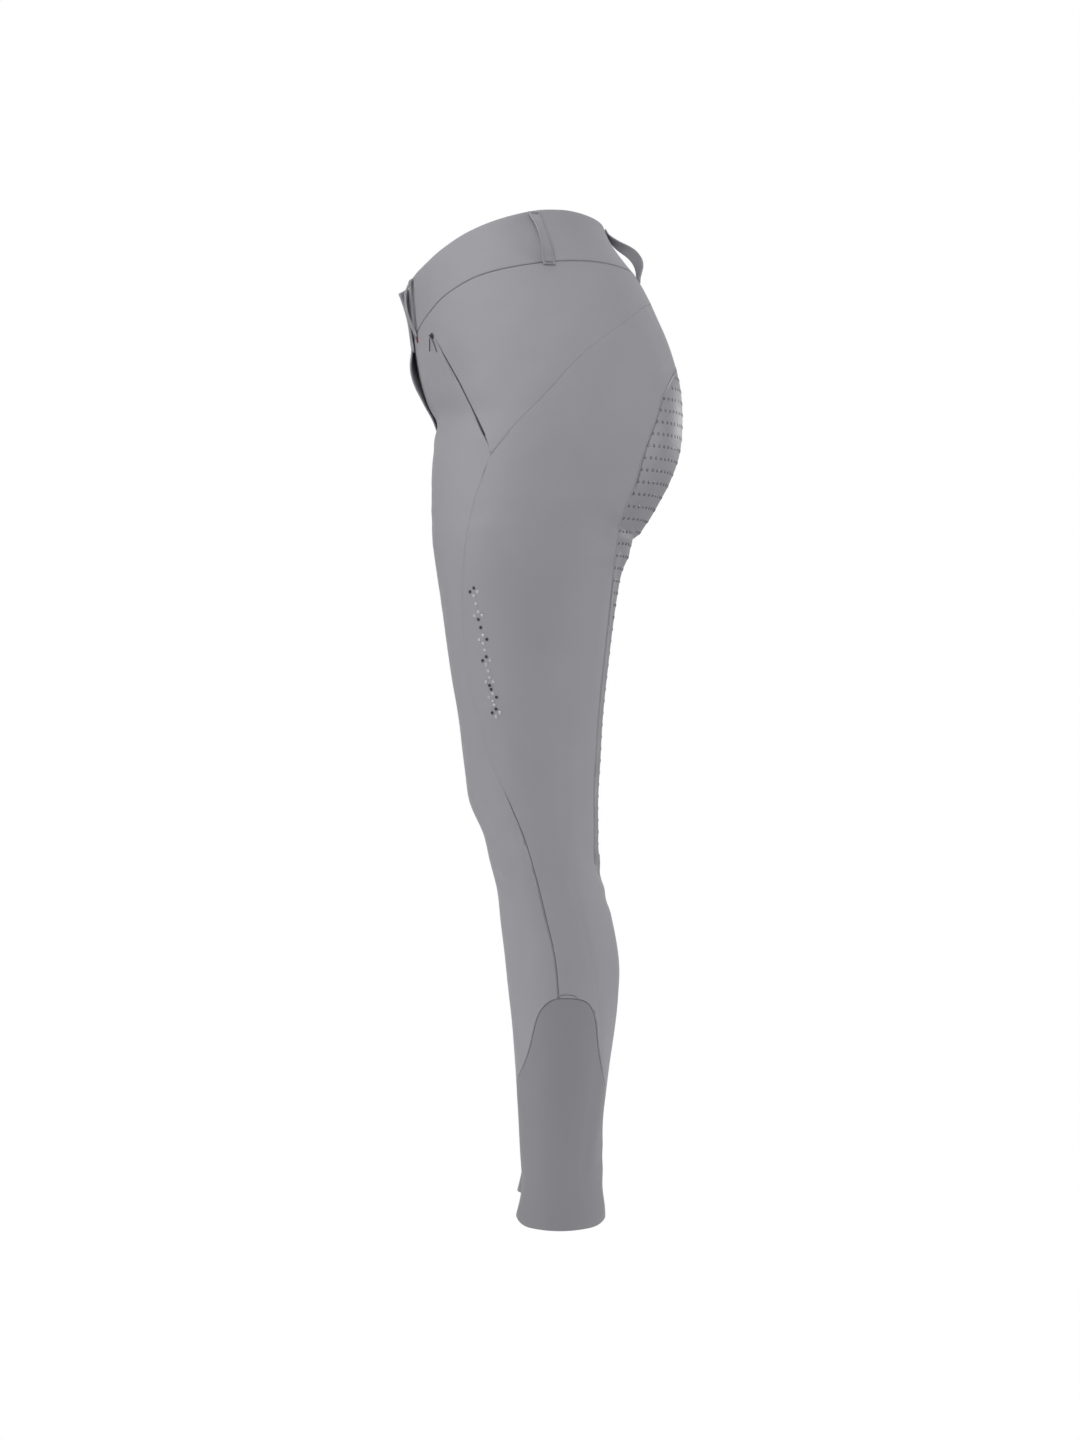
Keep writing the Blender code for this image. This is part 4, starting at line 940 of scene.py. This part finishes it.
zip_tape = tape_finish("zip_tape", 0.10)
nylon = silicone_finish("zip_nylon", 0.09, 0.30)
fly_skin = Skin("fly_zip", TAPE_WALL, 2)
fly_tape = new_piece("fly_tape", *walled(fly_skin, TAPE_WALL, WOVEN_EDGE), zip_tape, "zip_tape")
line, out = middle_line(fly_skin, 24)
fly_teeth = new_piece("fly_teeth", *coil(line - (TAPE_WALL + TOOTH_THICK) * out, -out, TOOTH_REACH,
                                         TOOTH_PITCH, TOOTH_THICK), nylon, "zip_tape")
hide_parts("fly_zip")

flap_tree = flap_skin.tree()
front_tree = skins["front_panel_R"].tree()
line, facing = [], []
for x, z in FLY_STITCH:
    for tree in (flap_tree, front_tree):
        place, out, _, _ = tree.ray_cast(Vector((x, -0.3, z)), Vector((0, 1, 0)))
        if place is not None:
            line.append(np.array(place))
            facing.append(np.array(out))
            break
fly_thread = new_piece("fly_thread", *stitches(np.array(line), np.array(facing), 0.0028, 0.0021, THREAD),
                       grey_thread, "stretch_cloth")

# ---------------------------------------------------------------------------------------------
# Pockets. A closed coil zip lies behind each slanting slit. At its top is a small enamelled slider
# with a short soft cord looped through its bridge.

TEETH_ROWS = 24
SLIDER_OUTLINE = ((0.86, 0.3), (1.0, 0.5), (1.0, 0.85), (0.8, 1.0), (0.0, 1.08), (-0.8, 1.0),
                  (-1.0, 0.85), (-1.0, 0.5), (-0.86, 0.3))
SliderRow = namedtuple("SliderRow", "run half_width height")
SLIDER_ROWS = (SliderRow(-0.0030, 0.0013, 0.0008), SliderRow(-0.0026, 0.0021, 0.0011),
               SliderRow(-0.0012, 0.0026, 0.0013), SliderRow(0.0006, 0.0026, 0.0013),
               SliderRow(0.0020, 0.0021, 0.0012), SliderRow(0.0028, 0.0013, 0.0009))
Rise = namedtuple("Rise", "run height")
BRIDGE = (Rise(-0.0022, 0.0009), Rise(-0.0017, 0.0027), Rise(-0.0009, 0.0033), Rise(0.0003, 0.0033),
          Rise(0.0012, 0.0027), Rise(0.0018, 0.0009))
BRIDGE_THICK = 0.00036
Place = namedtuple("Place", "height depth")
CORD_RADIUS = 0.0005
CORD_STEPS = 60
CORD_EASE = 6
Pull = namedtuple("Pull", "height depth lift")
PULL_ROUTE = (Pull(-0.0908, -0.0736, 0.0007), Pull(-0.0885, -0.0735, 0.0008), Pull(-0.0860, -0.0733, 0.0010),
              Pull(-0.0832, -0.0730, 0.0014), Pull(-0.0806, -0.0727, 0.0019), Pull(-0.0789, -0.0722, 0.0022),
              Pull(-0.0781, -0.0714, 0.0023), Pull(-0.0786, -0.0706, 0.0022), Pull(-0.0804, -0.0700, 0.0018),
              Pull(-0.0832, -0.0693, 0.0013), Pull(-0.0872, -0.0682, 0.0009), Pull(-0.0932, -0.0665, 0.0007))


def on_side(tree, side, place):
    """The surface that the wearer's side shows at a height and a depth."""
    start = Vector((side * 0.5, place.depth, place.height))
    found, facing, _, _ = tree.ray_cast(start, Vector((-side, 0, 0)))
    return np.array(found), np.array(facing)


def enamel_finish(name, level):
    """Dark enamelled metal, rubbed a little brighter in places."""
    finish = Finish(name)
    place = finish.node("ShaderNodeTexCoord", output="Object")
    rubbed = finish.noise(place, 500.0, 3.0)
    colour = finish.blend(grey(level * 0.7), grey(level * 1.6), rubbed)
    return finish.done(Base_Color=colour, Roughness=rubbed * 0.2 + 0.28, Metallic=0.7)


slider_enamel = enamel_finish("slider_enamel", 0.07)
pull_cord = thread_finish("pull_cord", 0.075)
for side, mark in ((1, "L"), (-1, "R")):
    front = skins["front_panel_" + mark]
    tree = front.tree()
    tape_skin = Skin("pocket_zip_" + mark, TAPE_WALL, 2)
    tape = new_piece("pocket_tape_" + mark, *walled(tape_skin, TAPE_WALL, WOVEN_EDGE), zip_tape, "zip_tape")
    line, out = middle_line(tape_skin, TEETH_ROWS)
    new_piece("pocket_teeth_" + mark, *coil(line + TOOTH_THICK * out, out, TOOTH_REACH, TOOTH_PITCH,
                                            TOOTH_THICK), nylon, "zip_tape")
    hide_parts("pocket_zip_" + mark)
    place, up, _, _ = tree.find_nearest(sum(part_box("pocket_slider_" + mark), Vector()) / 2)
    place, up = np.array(place), np.array(up)
    ahead = line[0] - line[2]
    ahead = unit(ahead - (ahead @ up) * up)
    path = np.array([place + row.run * ahead for row in SLIDER_ROWS])
    body = swept(path, np.array([up] * len(path)), SLIDER_OUTLINE,
                 [(row.half_width, row.height) for row in SLIDER_ROWS])
    path = np.array([place + rise.run * ahead + rise.height * up for rise in BRIDGE])
    bridge = swept(path, np.array([up] * len(path)), circle(BRIDGE_THICK, 8), [(1.6, 1.0)] * len(path))
    slider = new_piece("zip_slider_" + mark, *joined([body, bridge]), slider_enamel, "slider_enamel")
    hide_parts("pocket_slider_" + mark)
    found = [on_side(tree, side, pull) for pull in PULL_ROUTE]
    route = np.array([place + pull.lift * out for (place, out), pull in zip(found, PULL_ROUTE)])
    runs = np.linspace(0, lengths(route)[-1], CORD_STEPS)
    route = along(route, route, runs)
    for _ in range(CORD_EASE):
        route[1:-1] = (route[:-2] + 2 * route[1:-1] + route[2:]) / 4
    ends = np.clip(np.minimum(runs, runs[-1] - runs) / CORD_RADIUS, 0.45, 1.0)
    pull = new_piece("cord_pull_" + mark, *swept(route, np.array([up] * len(route)),
                                                   circle(CORD_RADIUS, 8), ends), pull_cord, "pull_cord")
    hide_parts("pocket_pull_" + mark)

# ---------------------------------------------------------------------------------------------
# Small plain tab. A folded bit of dark red tape, caught under the foot of the left front loop.

TAB_EDGE = ((0.0004, 0.0), (0.0001, 0.00015), (0.0, 0.0005), (0.0001, 0.00085), (0.0004, 0.0010))
TAB_TUCKED = 0.0045
TAB_SUNK = 0.0005
tab_skin = Skin("front_tab", TAPE_WALL, 3)
tab_skin.points = tab_skin.points + (0, 0, TAB_TUCKED) - TAB_SUNK * tab_skin.out()
finish = Finish("plain_tab")
grain = finish.node("ShaderNodeAttribute", {"attribute_name": "grain"}, output="Vector")
parts = finish.node("ShaderNodeSeparateXYZ", {}, {"Vector": grain})
up = Wire(finish, parts.socket.node.outputs["Y"])
satin = finish.wave(up, 0.0004) * 0.5 + 0.5
colour = finish.blend((0.11, 0.012, 0.016, 1.0), (0.21, 0.028, 0.034, 1.0), satin)
bump = finish.node("ShaderNodeBump", {}, {"Strength": 0.4, "Distance": 0.00004, "Height": satin})
plain_tab = finish.done(Base_Color=colour, Roughness=satin * 0.1 + 0.5, Normal=bump)
tab = new_piece("red_tab", *walled(tab_skin, TAPE_WALL, TAB_EDGE), plain_tab, "plain_tab")
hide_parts("front_tab")

# ---------------------------------------------------------------------------------------------
# Crystals. A generic line of small diamonds, each of four foiled glass stones, with single stones
# between, glued to the left thigh just behind the leg seam.

Stone = namedtuple("Stone", "depth height")
MOTIF_LINE = (Stone(-0.0310, -0.321), Stone(-0.0225, -0.365), Stone(-0.0165, -0.404), Stone(-0.0105, -0.433))
DIAMONDS = 7
DIAMOND_REACH = 0.0035
STONE_RADIUS = 0.00160
STONE_RINGS = ((1.0, 0.0), (1.0, 0.28), (0.58, 0.72))
STONE_SIDES = 8


def crystal_finish(name, colour, roughness):
    """Foiled cut glass. Its facets mirror the room."""
    finish = Finish(name)
    place = finish.node("ShaderNodeTexCoord", output="Object")
    spark = finish.noise(place, 1400.0, 1.0)
    tint = finish.blend([c * 0.55 for c in colour[:3]] + [1.0], colour, spark)
    return finish.done(Base_Color=tint, Roughness=roughness, Metallic=0.45)


def cut_stone(place, facing, radius, turn):
    """A round stone with a flat table and eight facets."""
    aside = unit(np.cross(facing, (0.0, turn, 1.0)))
    other = np.cross(facing, aside)
    points = [place + radius * (size * (cos(2 * pi * k / STONE_SIDES) * aside
                                        + sin(2 * pi * k / STONE_SIDES) * other) + up * facing)
              for size, up in STONE_RINGS for k in range(STONE_SIDES)]
    faces = [(r * STONE_SIDES + k, r * STONE_SIDES + (k + 1) % STONE_SIDES,
              (r + 1) * STONE_SIDES + (k + 1) % STONE_SIDES, (r + 1) * STONE_SIDES + k)
             for r in range(len(STONE_RINGS) - 1) for k in range(STONE_SIDES)]
    faces.append(tuple((len(STONE_RINGS) - 1) * STONE_SIDES + k for k in range(STONE_SIDES)))
    faces.append(tuple(reversed(range(STONE_SIDES))))
    return np.array(points), faces


tree = skins["back_panel_L"].tree()
shares = np.linspace(0, 1, 2 * DIAMONDS - 1)
marks = np.linspace(0, 1, len(MOTIF_LINE))
clear, dark = [], []
for i, share in enumerate(shares):
    depth = float(np.interp(share, marks, [stone.depth for stone in MOTIF_LINE]))
    height = float(np.interp(share, marks, [stone.height for stone in MOTIF_LINE]))
    offsets = ((0, 1), (0, -1), (1, 0), (-1, 0)) if i % 2 == 0 else ((0, 0),)
    for k, (back, above) in enumerate(offsets):
        spot = Place(height + above * DIAMOND_REACH, depth + back * DIAMOND_REACH)
        found, facing = on_side(tree, 1, spot)
        stone = cut_stone(found, facing, STONE_RADIUS, 0.2 * i + 0.5 * k)
        (clear if (i + k) % 3 else dark).append(stone)
new_piece("crystals_clear", *joined(clear), crystal_finish("clear_crystal", (0.94, 0.95, 0.97, 1.0), 0.10),
          "crystal", flat_faces=True)
new_piece("crystals_dark", *joined(dark), crystal_finish("dark_crystal", (0.10, 0.10, 0.12, 1.0), 0.14),
          "crystal", flat_faces=True)

# ---------------------------------------------------------------------------------------------
# Studio. A pale floor, a white surround, and broad soft lights from all sides.

CAMERA_AWAY = 3.0
CAMERA_ALONG = 0.0303
CAMERA_HEIGHT = -0.4397
LENS = 76.8
FLOOR_HEIGHT = -1.02
FLOOR_RADIUS = 1.6
camera = bpy.data.objects.new("camera", bpy.data.cameras.new("camera"))
camera.data.lens = LENS
camera.data.sensor_width = 36.0
camera.location = (CAMERA_AWAY, CAMERA_ALONG, CAMERA_HEIGHT)
camera.rotation_euler = (radians(90), 0.0, radians(90))
bpy.context.scene.collection.objects.link(camera)
bpy.context.scene.camera = camera

surround = bpy.data.worlds.new("surround")
surround.use_nodes = True
bpy.context.scene.world = surround
nodes, links = surround.node_tree.nodes, surround.node_tree.links
nodes.clear()
seen = nodes.new("ShaderNodeLightPath")
white = nodes.new("ShaderNodeBackground")
white.inputs["Strength"].default_value = 1.0
white.inputs["Color"].default_value = (1.0, 1.0, 1.0, 1.0)
soft = nodes.new("ShaderNodeBackground")
soft.inputs["Color"].default_value = (1.0, 1.0, 1.0, 1.0)
soft.inputs["Strength"].default_value = 0.27
either = nodes.new("ShaderNodeMixShader")
links.new(seen.outputs["Is Camera Ray"], either.inputs["Fac"])
links.new(soft.outputs[0], either.inputs[1])
links.new(white.outputs[0], either.inputs[2])
links.new(either.outputs[0], nodes.new("ShaderNodeOutputWorld").inputs["Surface"])
bpy.context.scene.view_settings.view_transform = "Standard"

Lamp = namedtuple("Lamp", "name place aim size spread power")
LAMPS = (
    Lamp("front", (0.9, -2.5, 0.4), (0.0, 0.0, -0.35), 1.8, 180, 26.5),
    Lamp("back", (0.45, 2.6, -0.1), (0.0, 0.0, -0.50), 1.2, 180, 25.0),
    Lamp("left", (2.2, -0.6, 1.2), (0.1, 0.0, 0.05), 1.4, 60, 4.6),
    Lamp("right", (-2.6, -0.4, 1.2), (0.0, 0.0, -0.4), 1.6, 180, 16.0),
    Lamp("top", (0.2, -0.3, 2.4), (0.0, 0.0, 0.0), 1.6, 180, 13.5),
    Lamp("rim", (-1.9, 1.7, 0.1), (0.0, 0.12, -0.2), 0.4, 180, 8.0),
)
for lamp in LAMPS:
    light = bpy.data.objects.new("lamp_" + lamp.name, bpy.data.lights.new(lamp.name, "AREA"))
    light.data.shape = "DISK"
    light.data.size = lamp.size
    light.data.spread = radians(lamp.spread)
    light.data.energy = lamp.power
    light.location = lamp.place
    light.rotation_euler = (Vector(lamp.aim) - Vector(lamp.place)).to_track_quat("-Z", "Y").to_euler()
    bpy.context.scene.collection.objects.link(light)

floor_finish = Finish("pale_floor")
place = floor_finish.node("ShaderNodeTexCoord", output="Object")
away = floor_finish.node("ShaderNodeVectorMath", {"operation": "LENGTH"}, {0: place}, output="Value")
fade = floor_finish.node("ShaderNodeMapRange", {"interpolation_type": "SMOOTHSTEP"},
                         {"Value": away, "From Min": 0.5, "From Max": 1.5, "To Min": 1.0, "To Max": 0.0})
clear = floor_finish.node("ShaderNodeBsdfTransparent")
pale = floor_finish.node("ShaderNodeEmission", {}, {"Color": (1.0, 1.0, 1.0, 1.0), "Strength": 1.0})
mixed = floor_finish.node("ShaderNodeMixShader", {}, {0: fade, 1: clear, 2: pale})
floor_finish.node("ShaderNodeOutputMaterial", {}, {"Surface": mixed})
floor_mesh = bmesh.new()
bmesh.ops.create_circle(floor_mesh, cap_ends=True, radius=FLOOR_RADIUS, segments=64)
floor_data = bpy.data.meshes.new("floor")
floor_mesh.to_mesh(floor_data)
floor = bpy.data.objects.new("floor", floor_data)
floor.location = (0.0, 0.03, FLOOR_HEIGHT)
floor_data.materials.append(floor_finish.material)
bpy.context.scene.collection.objects.link(floor)
